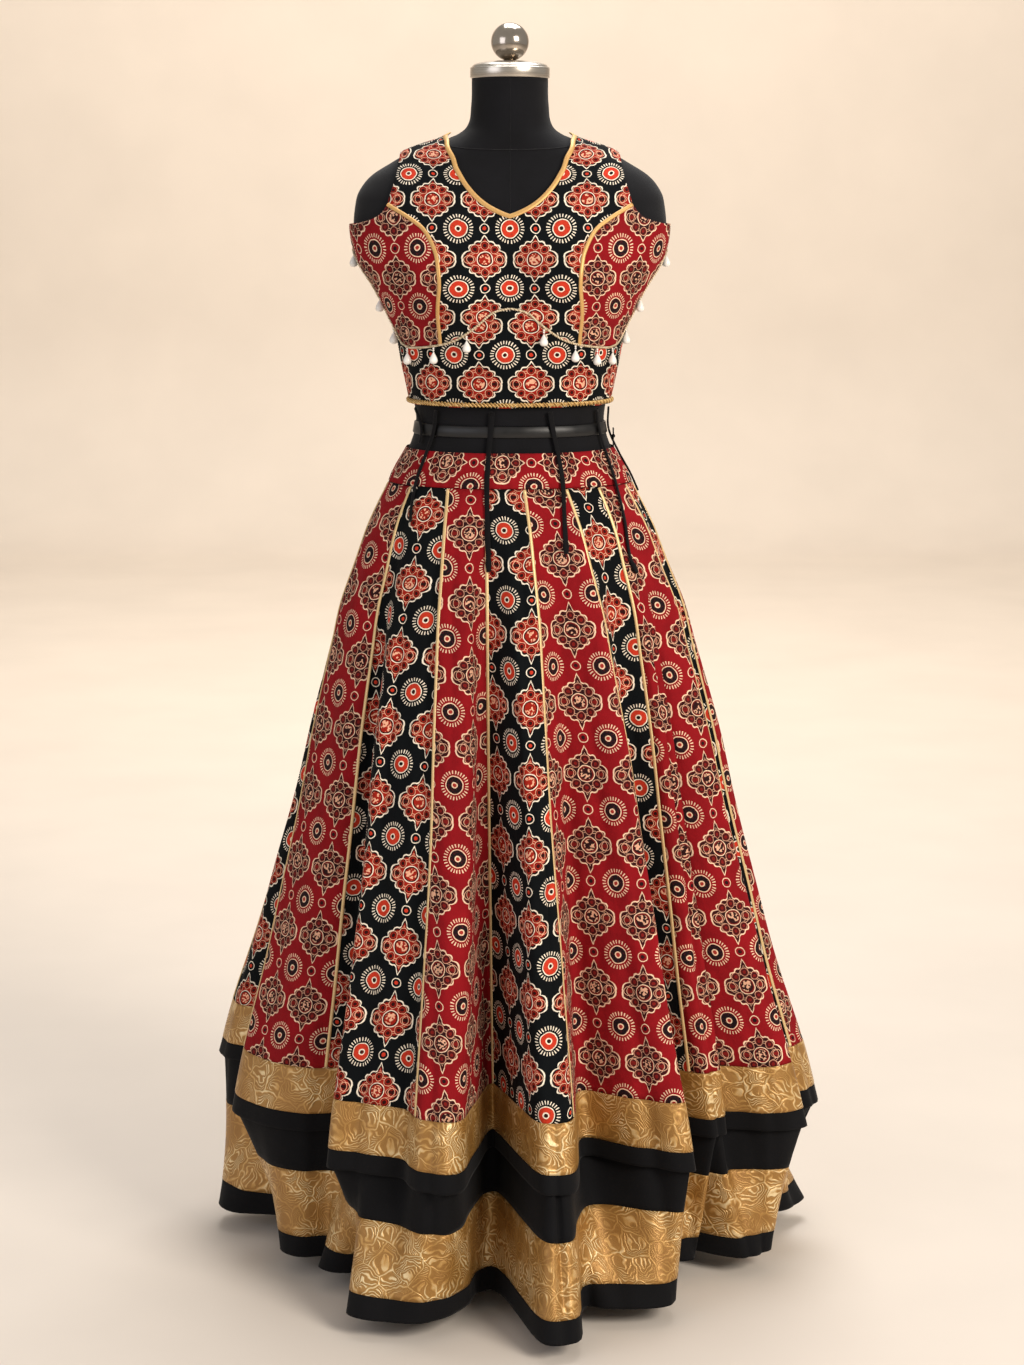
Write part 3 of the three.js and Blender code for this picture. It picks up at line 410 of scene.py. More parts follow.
def even(line: Sequence[Sequence[float]], count: int) -> Array:
    """A line drawn again as a smooth curve with evenly spaced points.

    Args:
        line: Rows of angle and height.
        count: How many points are wanted.

    Returns:
        Rows of angle and height.
    """
    points = np.array(line, float)
    points = np.vstack([2 * points[0] - points[1], points, 2 * points[-1] - points[-2]])
    t = np.linspace(0, len(line) - 1, 400)
    i = np.minimum(t.astype(int), len(line) - 2)
    w = (t - i)[:, None]
    p0, p1, p2, p3 = (points[i + k] for k in (0, 1, 2, 3))
    d0, d1, d2 = (np.maximum(np.linalg.norm(b - a, axis=-1, keepdims=True), 1e-6) ** 0.5
                  for a, b in ((p0, p1), (p1, p2), (p2, p3)))
    t1 = ((p1 - p0) / d0 - (p2 - p0) / (d0 + d1) + (p2 - p1) / d1) * d1
    t2 = ((p2 - p1) / d1 - (p3 - p1) / (d1 + d2) + (p3 - p2) / d2) * d1
    curve = p1 + t1 * w + (-3 * p1 + 3 * p2 - 2 * t1 - t2) * w**2 + (2 * p1 - 2 * p2 + t1 + t2) * w**3
    run = np.concatenate([[0], np.cumsum(np.linalg.norm(np.diff(curve, axis=0), axis=1))])
    wanted = np.linspace(0, run[-1], count)
    return np.stack([np.interp(wanted, run, curve[:, k]) for k in (0, 1)], -1)


def mirrored(line: Array) -> Array:
    """A line of the right half moved to the left half: its angles change sign."""
    return line * np.array([-1.0, 1.0])


def behind(line: Array) -> Array:
    """A line of the front moved to the back: its angles are taken from 180."""
    return np.stack([180 - line[:, 0], line[:, 1]], -1)


def rounded(line: Array) -> Array:
    """A line of the right half moved to the left half by the back: its angles are taken from 360."""
    return np.stack([360 - line[:, 0], line[:, 1]], -1)


def underbust(low: float, high: float, count: int) -> Array:
    """The line under the bust between two angles, the same on all four quarters where its table is."""
    table = np.array(UNDERBUST, float)
    angle = np.linspace(low, high, count)
    turned = np.abs(np.mod(angle + 180, 360) - 180)
    return np.stack([angle, smooth_at(table[:, 0], table[:, 1], turned)], -1)


def patch(bottom: Array, top: Array, left: Array, right: Array) -> Array:
    """A grid of angles and heights between four borders.

    Each row runs straight from the left border to the right one, and keeps a share of the bottom and top
    borders' bends: for angles the share's third power, so that rows don't cross, and for heights the share
    itself.

    Args:
        bottom: The bottom border, left to right.
        top: The top border, left to right, with as many points.
        left: The left border, upwards.
        right: The right border, upwards, with as many points.

    Returns:
        Rows from the top down, each of angle and height.
    """
    u = np.linspace(0, 1, len(bottom))[None, :, None]
    v = np.linspace(0, 1, len(left))[:, None, None]
    power = np.array([3.0, 1.0])
    across = left[:, None, :] * (1 - u) + right[:, None, :] * u
    bend_low = bottom[None] - (bottom[None, :1] * (1 - u) + bottom[None, -1:] * u)
    bend_high = top[None] - (top[None, :1] * (1 - u) + top[None, -1:] * u)
    return (across + (1 - v) ** power * bend_low + v**power * bend_high)[::-1]


def bodice(side: Array, neck: Array, middle: float, columns: int) -> Array:
    """A grid of angles and heights between the line under the bust and the neckline.

    Each row lies the same share of the way up between the two lines and ends on the side's line, and its
    points draw together towards the middle near the neck.

    Args:
        side: The side's line upwards to the neckline, as angles from the middle and heights.
        neck: The neckline, as rising angles from the middle and heights.
        middle: The angle of the piece's middle.
        columns: How many points each row has.

    Returns:
        Rows from the top down, each of angle and height.
    """
    table = np.array(UNDERBUST, float)
    reach, height = side[:, :1], side[:, 1:]

    def low(aside: Array) -> Array:
        """The height of the line under the bust, which stays level past the side seam."""
        return smooth_at(table[:, 0], table[:, 1], np.abs(middle - np.minimum(aside, side[0, 0])))

    def high(aside: Array) -> Array:
        """The height of the neckline."""
        return np.interp(aside, neck[:, 0], neck[:, 1])

    up = (height - low(reach)) / (high(reach) - low(reach))
    share = np.linspace(-1, 1, columns)[None]
    aside = reach * np.abs(share) ** (1 + 0.6 * up)
    level = low(aside) * (1 - up) + high(aside) * up
    return np.stack([middle + np.sign(share) * aside, level], -1)[::-1]


def grid_normals(points: Array, ring: bool) -> Array:
    """Normals of a grid whose rows run down and columns to the right: down crossed with across.

    Args:
        points: Rows and columns of points.
        ring: Whether the last column meets the first.

    Returns:
        Unit vectors, shaped as the points.
    """
    down = np.gradient(points, axis=0)
    if ring:
        across = np.roll(points, -1, axis=1) - np.roll(points, 1, axis=1)
    else:
        across = np.gradient(points, axis=1)
    return unit(np.cross(down, across))


def grid_quads(rows: int, columns: int, ring: bool, first: int = 0) -> tuple[Array, Array]:
    """The faces of a grid and, for each, the row and column of its corners.

    Args:
        rows: How many rows of points.
        columns: How many columns of points.
        ring: Whether the last column meets the first.
        first: The number of the grid's first point.

    Returns:
        Point numbers, four to a face, and the corners' own numbers on a grid that isn't closed.
    """
    j, i = np.meshgrid(np.arange(rows - 1), np.arange(columns if ring else columns - 1), indexing="ij")
    wide = columns + 1 if ring else columns
    corners = [(j, i), (j + 1, i), (j + 1, i + 1), (j, i + 1)]
    faces = np.stack([first + a * columns + b % columns for a, b in corners], -1).reshape(-1, 4)
    places = np.stack([a * wide + b for a, b in corners], -1).reshape(-1, 4)
    return faces, places


@dataclass
class Build:
    """The points and faces of one mesh while it is put together."""

    points: list[Array] = field(default_factory=list)
    faces: list[Array] = field(default_factory=list)
    corner_uv: list[Array] = field(default_factory=list)
    count: int = 0

    def grid(self, points: Array, uv: Array | None, ring: bool = False, flip: bool = False) -> int:
        """Adds a grid of quads.

        Args:
            points: Rows and columns of points in millimetres.
            uv: The cloth's own measures in metres at the points, with one more column on a ring.
            ring: Whether the last column meets the first.
            flip: Whether the faces look the other way.

        Returns:
            The number of its first point.
        """
        first = self.count
        rows, columns = points.shape[:2]
        faces, places = grid_quads(rows, columns, ring, first)
        flat = np.zeros((int(places.max()) + 1, 2)) if uv is None else uv.reshape(-1, 2)
        order = [3, 2, 1, 0] if flip else [0, 1, 2, 3]
        self.points.append(points.reshape(-1, 3))
        self.faces.append(faces[:, order])
        self.corner_uv.append(flat[places[:, order]])
        self.count += rows * columns
        return first

    def strip(self, one: Array, other: Array, uv: tuple[float, float] = (0.0, 0.0),
              closed: bool = False) -> None:
        """Adds a strip of quads between two rows of point numbers, all at one place of the cloth."""
        if closed:
            one, other = np.append(one, one[0]), np.append(other, other[0])
        faces = np.stack([one[:-1], other[:-1], other[1:], one[1:]], -1)
        self.faces.append(faces)
        self.corner_uv.append(np.broadcast_to(np.array(uv), (len(faces), 4, 2)))

    def cap(self, loop: Array) -> None:
        """Closes a small loop with one face."""
        self.faces.append(np.asarray(loop)[None])
        self.corner_uv.append(np.zeros((1, len(loop), 2)))

    def make(self, name: str, material: bpy.types.Material, stands_for: Sequence[str] = (),
             smooth: bool = True) -> bpy.types.Object:
        """Makes the object, dresses it, and lets it ride on the part's body.

        Args:
            name: The piece's name.
            material: Its material.
            stands_for: The CAD nodes that it replaces.
            smooth: Whether its faces are shaded smooth.

        Returns:
            The object.
        """
        mesh = bpy.data.meshes.new(name)
        points = np.concatenate(self.points) * MM
        loops = np.concatenate([f.reshape(-1) for f in self.faces]).astype(np.int32)
        sizes = np.concatenate([np.full(len(f), f.shape[1]) for f in self.faces])
        starts = np.concatenate([[0], np.cumsum(sizes)[:-1]]).astype(np.int32)
        mesh.vertices.add(len(points))
        mesh.vertices.foreach_set("co", points.astype(np.float32).reshape(-1))
        mesh.loops.add(len(loops))
        mesh.loops.foreach_set("vertex_index", loops)
        mesh.polygons.add(len(starts))
        mesh.polygons.foreach_set("loop_start", starts)
        mesh.polygons.foreach_set("use_smooth", np.full(len(starts), smooth))
        layer = mesh.uv_layers.new(name=CLOTH_UV)
        uv = np.concatenate([c.reshape(-1, 2) for c in self.corner_uv]).astype(np.float32)
        layer.data.foreach_set("uv", uv.reshape(-1))
        mesh.update(calc_edges=True)
        mesh.validate()
        mesh.materials.append(material)
        piece = bpy.data.objects.new(name, mesh)
        bpy.context.scene.collection.objects.link(piece)
        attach(piece, BODY)
        if stands_for:
            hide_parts(*stands_for)
        LOG.info("%s: %d points, %d faces", name, len(points), len(starts))
        return piece


def cloth_measure(points: Array, ring: bool) -> Array:
    """Where points lie on the cloth, in metres: along the row from its middle, and down the middle column.

    Args:
        points: Rows and columns of points in millimetres.
        ring: Whether the rows close, which takes one more column.

    Returns:
        Rows and columns of across and down.
    """
    grid = np.concatenate([points, points[:, :1]], axis=1) if ring else points
    step = np.linalg.norm(np.diff(grid, axis=1), axis=-1)
    run = np.concatenate([np.zeros((len(grid), 1)), np.cumsum(step, axis=1)], axis=1)
    if ring:
        run = np.broadcast_to(run.mean(axis=0), run.shape)
    else:
        run = run - run[:, -1:] / 2
    middle = grid.mean(axis=1) if ring else grid[:, grid.shape[1] // 2]
    fall = np.linalg.norm(np.diff(grid, axis=0), axis=-1).mean(axis=1) if ring else np.linalg.norm(
        np.diff(middle, axis=0), axis=-1)
    down = -np.concatenate([[0], np.cumsum(fall)])
    return np.stack([run, np.broadcast_to(down[:, None], run.shape)], -1) * MM


def body_measure(places: Array, shift: tuple[float, float]) -> Array:
    """Where each point of a blouse piece lies on straight cloth wrapped round the form, in metres.

    Across is the length along the form's section at that height from the nearest of front and back, and up
    is the length along the form at an angle of 50 degrees.

    Args:
        places: Rows and columns of angle and height.
        shift: How far the print is moved on this piece.

    Returns:
        Rows and columns of across and up.
    """
    heights = np.linspace(1060, 1410, 71)
    turn = np.linspace(0, 180, 181)
    sections = skin(turn[None], heights[:, None])
    steps = np.linalg.norm(np.diff(sections, axis=1), axis=-1)
    run = np.concatenate([np.zeros((71, 1)), np.cumsum(steps, axis=1)], axis=1)
    angle = np.mod(places[..., 0] + 180, 360) - 180
    from_back = places[..., 0].mean() > 90 or places[..., 0].mean() < -90
    across = np.empty(angle.shape)
    row = np.clip((places[..., 1] - 1060) / 5, 0, 69.999)
    low, part = row.astype(int), row % 1
    column = np.clip(np.abs(angle), 0, 179.999)
    left, rest = column.astype(int), column % 1
    near = run[low, left] * (1 - rest) + run[low, left + 1] * rest
    far = run[low + 1, left] * (1 - rest) + run[low + 1, left + 1] * rest
    across = near * (1 - part) + far * part
    if from_back:
        whole = run[low, -1] * (1 - part) + run[low + 1, -1] * part
        across = across - whole
        across = np.where(angle < 0, -across, across)
    else:
        across = np.where(angle < 0, -across, across)
    meridian = skin(np.full(71, 50.0), heights)
    climb = np.concatenate([[0], np.cumsum(np.linalg.norm(np.diff(meridian, axis=0), axis=1))])
    up = np.interp(places[..., 1], heights, climb)
    return np.stack([across, up], -1) * MM + np.array(shift)


def cloth_shell(name: str, outer: Array, thickness: float, look: bpy.types.Material,
                nodes: Sequence[str], ring: bool = False,
                shift: tuple[float, float] = (0.0, 0.0), measure: Array | None = None) -> bpy.types.Object:
    """A sheet of cloth with its thickness: a grid, the same grid moved in along its normals, and rims.

    Args:
        name: The piece's name.
        outer: Rows from the top down, columns to the right, in millimetres.
        thickness: The cloth's thickness in millimetres.
        look: The material.
        nodes: The CAD nodes that it replaces.
        ring: Whether it closes round the body.
        shift: How far the print is moved on this piece, in metres.
        measure: Where the points lie on the cloth, if that isn't taken from the grid itself.

    Returns:
        The object.
    """
    inner = outer - grid_normals(outer, ring) * thickness
    uv = cloth_measure(outer, ring) + np.array(shift)
    width = float(np.ptp(uv[..., 0], axis=1).max())
    uv = uv if measure is None else measure
    build = Build()
    rows, columns = outer.shape[:2]
    a = build.grid(outer, uv, ring)
    b = build.grid(inner, uv, ring, flip=True)
    numbers = np.arange(rows * columns).reshape(rows, columns)
    edge_uv = (float(uv[0, 0, 0]), float(uv[0, 0, 1]))
    build.strip(b + numbers[0], a + numbers[0], edge_uv, ring)
    build.strip(a + numbers[-1], b + numbers[-1], edge_uv, ring)
    if not ring:
        build.strip(a + numbers[:, 0], b + numbers[:, 0], edge_uv)
        build.strip(b + numbers[:, -1], a + numbers[:, -1], edge_uv)
    piece = build.make(name, look, nodes)
    return piece


def carried(build: Build, path: Array, side: Array, out: Array, half_width: Array | float,
            half_height: Array | float, segments: int = 10, closed: bool = False) -> None:
    """A cord: an ellipse carried along a path, its width along side and its height along out.

    Args:
        build: The mesh that takes it.
        path: Its centre line in millimetres.
        side: Unit vectors across the cord.
        out: Unit vectors away from what it lies on.
        half_width: Half its width, one value or one for each point.
        half_height: Half its height, the same way.
        segments: How many points round it.
        closed: Whether its ends meet.
    """
    turn = 2 * np.pi * np.arange(segments) / segments
    half_width = np.broadcast_to(np.asarray(half_width, float), (len(path),))[:, None, None]
    half_height = np.broadcast_to(np.asarray(half_height, float), (len(path),))[:, None, None]
    rings = (path[:, None] + side[:, None] * half_width * np.cos(turn)[None, :, None]
             + out[:, None] * half_height * np.sin(turn)[None, :, None])
    run = np.concatenate([[0], np.cumsum(np.linalg.norm(np.diff(path, axis=0), axis=1))]) * MM
    uv = np.stack(np.meshgrid(np.linspace(0, 1, segments + 1) * 0.01, run), -1)
    ahead = np.gradient(path, axis=0)
    flip = float(np.sum(np.cross(side, out) * ahead)) > 0
    if closed:
        rings = np.concatenate([rings, rings[:1]])
        uv = np.stack(np.meshgrid(np.linspace(0, 1, segments + 1) * 0.01,
                                  np.append(run, run[-1] + 0.003)), -1)
        faces, places = grid_quads(len(rings), segments, True, build.count)
        total = (len(rings) - 1) * segments
        faces = build.count + (faces - build.count) % total
        order = [3, 2, 1, 0] if flip else [0, 1, 2, 3]
        build.points.append(rings[:-1].reshape(-1, 3))
        build.faces.append(faces[:, order])
        build.corner_uv.append(uv.reshape(-1, 2)[places[:, order]])
        build.count += total
        return
    first = build.grid(rings, uv, True, flip)
    loop = np.arange(segments)
    last = first + (len(path) - 1) * segments
    build.cap(first + (loop if flip else loop[::-1]))
    build.cap(last + (loop[::-1] if flip else loop))


def revolved(build: Build, profile: Array, centres: Array, segments: int = 16) -> None:
    """Turned shapes: a profile of radius and height taken round an upright axis, once for each centre.

    Args:
        build: The mesh that takes them.
        profile: Rows of radius and height from the top down, in millimetres, with no radius at zero.
        centres: Where each axis stands.
        segments: How many points round it.
    """
    turn = 2 * np.pi * np.arange(segments) / segments
    ring = np.stack([np.sin(turn), -np.cos(turn), np.zeros(segments)], -1)
    shape = profile[:, None, :1] * ring[None] + profile[:, None, 1:] * np.array([0, 0, 1.0])
    run = np.concatenate([[0], np.cumsum(np.linalg.norm(np.diff(profile, axis=0), axis=1))]) * MM
    around = np.linspace(0, 1, segments + 1) * 2 * np.pi * float(profile[:, 0].max()) * MM
    uv = np.stack(np.meshgrid(around, -run), -1)
    for centre in centres:
        first = build.grid(shape + centre, uv, True)
        loop = np.arange(segments)
        build.cap(first + loop)
        build.cap(first + (len(profile) - 1) * segments + loop[::-1])


def linear(colour: str) -> tuple[float, float, float, float]:
    """An sRGB hex colour as linear light: each channel through the standard's curve."""
    channels = [int(colour[i:i + 2], 16) / 255 for i in (1, 3, 5)]
    return (*[c / 12.92 if c <= 0.04045 else ((c + 0.055) / 1.055) ** 2.4 for c in channels], 1.0)


Socket = bpy.types.NodeSocket
Value = Any


class Look:
    """A material's nodes while they are put together."""

    def __init__(self, name: str) -> None:
        """Starts an empty material with that name."""
        self.material = bpy.data.materials.new(name)
        self.material.use_nodes = True
        self.tree = self.material.node_tree
        self.tree.nodes.clear()

    def add(self, kind: str, *inputs: Value, out: int | str = 0, named: dict[int | str, Value] | None = None,
            stops: Sequence[tuple[float, str]] = (), bends: Sequence[tuple[float, float]] = (),
            **settings: Value) -> Socket:
        """Adds one node with its settings and links.

        Args:
            kind: The node's type, with an operation after a dot where it has one.
            inputs: Values or sockets for its inputs in order, None to leave one.
            out: Which output is wanted.
            named: Values or sockets for inputs by name or number.
            stops: A colour ramp's places and hex colours.
            bends: A curve's points.
            settings: The node's own settings.

        Returns:
            The output socket.
        """
        kind, _, operation = kind.partition(".")
        node = self.tree.nodes.new("ShaderNode" + kind)
        if operation:
            node.operation = operation
        for key, value in settings.items():
            setattr(node, key, value)
        if stops:
            ramp = node.color_ramp
            while len(ramp.elements) < len(stops):
                ramp.elements.new(0.5)
            for element, (place, colour) in zip(ramp.elements, stops):
                element.position = place
                element.color = linear(colour)
        if bends:
            curve = node.mapping.curves[0]
            while len(curve.points) < len(bends):
                curve.points.new(0.5, 0.5)
            for point, place in zip(curve.points, bends):
                point.location = place
                point.handle_type = "AUTO"
            node.mapping.update()
        for key, value in [*enumerate(inputs), *(named or {}).items()]:
            if value is None:
                continue
            if isinstance(value, bpy.types.NodeSocket):
                self.tree.links.new(value, node.inputs[key])
            else:
                node.inputs[key].default_value = value
        return node.outputs[out]

    def finish(self, colour: Value, roughness: Value, normal: Socket | None = None,
               **shader: Value) -> bpy.types.Material:
        """Ends the material in one shader.

        Args:
            colour: The base colour.
            roughness: The roughness.
            normal: The bumped normal, if any.
            shader: More of the shader's inputs, with underscores for spaces.

        Returns:
            The material.
        """
        named = {"Base Color": colour, "Roughness": roughness, "Normal": normal}
        named.update({key.replace("_", " "): value for key, value in shader.items()})
        shaded = self.add("BsdfPrincipled", named=named)
        self.add_output(shaded)
        return self.material

    def add_output(self, shaded: Socket) -> None:
        """Links the shader to the material's output."""
        end = self.tree.nodes.new("ShaderNodeOutputMaterial")
        self.tree.links.new(shaded, end.inputs["Surface"])


@dataclass(frozen=True)
class BlockPrint:
    """Cotton lawn printed with hand-cut blocks: matt, with inks that sink in and edges a little uneven.

    Medallions stand on a lattice, a small ring halfway up between them, and a sun in the middle of each cell.
    All sizes are in millimetres.
    """

    name: str
    pitch: tuple[float, float]
    medallion: float
    ground: str
    medallion_ink: str
    petal_ink: str
    deep_ink: str
    fine_ink: str
    line_ink: str
    sun_ink: str
    sun_eye: str
    tip: float = 1.22
    sideways: bool = False

    REACH = 1.4
    OUTLINE = ((0.0, 1.0), (0.10, 1.02), (0.20, 0.98), (0.29, 0.86), (0.33, 0.80), (0.40, 0.88), (0.48, 0.90),
               (0.56, 0.84), (0.60, 0.82), (0.68, 0.88), (0.76, 0.88), (0.84, 0.84), (0.90, 0.88))

    def build(self) -> bpy.types.Material:
        """Builds the print.

        Coordinates are the cloth's own, wrapped into one cell for each motif. The medallion's edge is a
        curve of radius against angle on one quarter, and its petals are ovals repeated eight times round a
        ring.

        Returns:
            The material.
        """
        look = Look(self.name)
        add = look.add
        pitch_x, pitch_y = self.pitch
        cloth = add("UVMap", uv_map=CLOTH_UV)
        wobble = add("TexNoise", cloth, None, 90.0, 2.0, out="Color", noise_dimensions="2D")
        wobble = add("VectorMath.SUBTRACT", wobble, (0.5, 0.5, 0.5))
        moved = add("VectorMath.MULTIPLY_ADD", wobble, (0.0022, 0.0022, 0.0), cloth)
        u = add("SeparateXYZ", moved, out="Y" if self.sideways else "X")
        v = add("SeparateXYZ", moved, out="X" if self.sideways else "Y")
        u, v = (add("Math.MULTIPLY", value, 1000.0) for value in (u, v))

        def cell(value: Socket, pitch: float, shift: float) -> Socket:
            """A coordinate wrapped to one cell, zero at the motif's middle."""
            return add("Math.WRAP", add("Math.ADD", value, shift), pitch / 2, -pitch / 2)

        def radius(x: Socket, y: Socket) -> Socket:
            """The distance from the middle: the root of the squares' sum."""
            return add("Math.SQRT", add("Math.MULTIPLY_ADD", x, x, add("Math.MULTIPLY", y, y)))

        def band(value: Socket, low: float, high: float) -> Socket:
            """One between two limits and nothing outside them."""
            return add("Math.COMPARE", value, (low + high) / 2, (high - low) / 2)

        def below(value: Socket, limit: float) -> Socket:
            """One under a limit and nothing over it."""
            return add("Math.LESS_THAN", value, limit)

        def any_of(*masks: Socket) -> Socket:
            """One where any of the masks is."""
            total = masks[0]
            for mask in masks[1:]:
                total = add("Math.MAXIMUM", total, mask)
            return total

        x = add("Math.MULTIPLY", cell(u, pitch_x, 0.0), 30.0 / self.medallion)
        y = add("Math.MULTIPLY", cell(v, pitch_y, 0.0), 30.0 / self.medallion)
        far = radius(x, y)
        angle = add("Math.ARCTAN2", y, x)
        quarter = add("Math.ARCTAN2", add("Math.ABSOLUTE", y), add("Math.ABSOLUTE", x))
        spout = [(0.94, 0.64 * 0.9 + 0.36 * self.tip), (0.97, 0.34 * 0.9 + 0.66 * self.tip), (1.0, self.tip)]
        edge = add("FloatCurve", 1.0, add("Math.MULTIPLY", quarter, 2 / math.pi),
                   bends=[(place, size / self.REACH) for place, size in (*self.OUTLINE, *spout)])
        share = add("Math.DIVIDE", far, add("Math.MULTIPLY", edge, 30.0 * self.REACH))
        eighth = add("Math.WRAP", angle, math.pi / 8, -math.pi / 8)
        out = add("Math.MULTIPLY", add("Math.SUBTRACT", far, 18.2), 1 / 6.0)
        petal = radius(out, add("Math.MULTIPLY", eighth, 18.2 / 5.6))
        lobe = add("Math.MULTIPLY", add("Math.SUBTRACT", add("Math.ABSOLUTE", x), 21.4), 1 / 6.6)
        lobe = radius(lobe, add("Math.MULTIPLY", y, 1 / 6.2))
        inside, body = below(share, 0.97), below(share, 0.83)
        speck = add("TexVoronoi", moved, named={"Scale": 480.0}, voronoi_dimensions="2D", out="Color")
        speck = add("Math.MULTIPLY", add("Math.GREATER_THAN", add("SeparateXYZ", speck), 0.6),
                    below(far, 7.4))
        vein = add("Math.SINE", add("Math.MULTIPLY", share, 62.0))
        vein = add("Math.MULTIPLY", add("Math.GREATER_THAN", vein, 0.7), band(share, 0.60, 0.80))
        free = add("Math.MULTIPLY", add("Math.GREATER_THAN", petal, 1.02),
                   add("Math.GREATER_THAN", lobe, 1.02))
        fill = any_of(body, below(petal, 0.88), below(far, 8.0))
        deep = any_of(below(petal, 0.42), band(petal, 0.66, 0.80), band(far, 8.0, 9.6), below(lobe, 0.45))
        fine = any_of(band(petal, 0.87, 0.99), speck, add("Math.MULTIPLY", vein, free),
                      band(lobe, 0.84, 0.97))
        lines = any_of(band(share, 0.93, 1.0), band(far, 9.7, 10.9))

        sun_x, sun_y = cell(u, pitch_x, pitch_x / 2), cell(v, pitch_y, pitch_y / 2)
        sun = radius(sun_x, sun_y)
        ray = add("Math.ABSOLUTE",
                  add("Math.SINE", add("Math.MULTIPLY", add("Math.ARCTAN2", sun_y, sun_x), 14.0)))
        rays = add("Math.MULTIPLY", band(sun, 13.2, 17.6), add("Math.GREATER_THAN", ray, 0.84))
        disc = below(sun, 9.8)
        dot = radius(cell(u, pitch_x, 0.0), cell(v, pitch_y, pitch_y / 2))
        lines = any_of(lines, band(sun, 9.9, 11.1), band(sun, 2.4, 3.9), rays, band(dot, 5.0, 6.1))
        disc = any_of(disc, below(dot, 2.3))
        core = below(sun, 2.4)

        worn = add("TexNoise", cloth, None, 420.0, 3.0, noise_dimensions="2D")
        worn = add("MapRange", worn, 0.32, 0.46, 0.72, 1.0)
        colour: Value = linear(self.ground)
        layers = ((inside, self.medallion_ink), (fill, self.petal_ink), (deep, self.deep_ink),
                  (fine, self.fine_ink),
                  (disc, self.sun_ink), (core, self.sun_eye), (lines, self.line_ink))
        for mask, ink in layers:
            cover = add("Math.MULTIPLY", mask, worn)
            colour = add("Mix", named={0: cover, 6: colour, 7: linear(ink)}, out=2, data_type="RGBA")
        mottle = add("TexNoise", cloth, None, 30.0, 4.0, noise_dimensions="2D")
        shade = add("MapRange", mottle, 0.3, 0.7, 0.84, 1.08)
        colour = add("VectorMath.SCALE", colour, named={"Scale": shade})
        # Threads of 0.4 mm are too fine to show, so the bump is drawn about 1.5 mm coarse.
        grain = add("TexNoise", cloth, None, 900.0, 2.0, noise_dimensions="2D")
        rumple = add("TexNoise", cloth, None, 42.0, 4.0, noise_dimensions="2D")
        height = add("Math.MULTIPLY_ADD", rumple, 5.0, grain)
        bump = add("Bump", 0.45, 0.0014, named={"Height": height}, out="Normal")
        return look.finish(colour, 0.85, bump, Specular_IOR_Level=0.12)


@dataclass(frozen=True)
class PlainCotton:
    """Dyed cotton or knitted jersey: no pattern, a fine matt surface with a little nap."""

    name: str
    colour: str
    sheen: float
    grain: float = 900.0

    def build(self) -> bpy.types.Material:
        """Builds the cloth: an even colour with faint mottling and a fine uneven bump."""
        look = Look(self.name)
        place = look.add("TexCoord", out="Object")
        mottle = look.add("TexNoise", place, None, 26.0, 4.0)
        shade = look.add("MapRange", mottle, 0.3, 0.7, 0.75, 1.3)
        colour = look.add("VectorMath.SCALE", linear(self.colour)[:3], named={"Scale": shade})
        grain = look.add("TexNoise", place, None, self.grain, 2.0)
        rumple = look.add("TexNoise", place, None, 45.0, 3.0)
        height = look.add("Math.MULTIPLY_ADD", rumple, 2.0, grain)
        bump = look.add("Bump", 0.3, 0.001, named={"Height": height}, out="Normal")
        return look.finish(colour, 0.88, bump, Specular_IOR_Level=0.2, Sheen_Weight=self.sheen,
                           Sheen_Roughness=0.4)


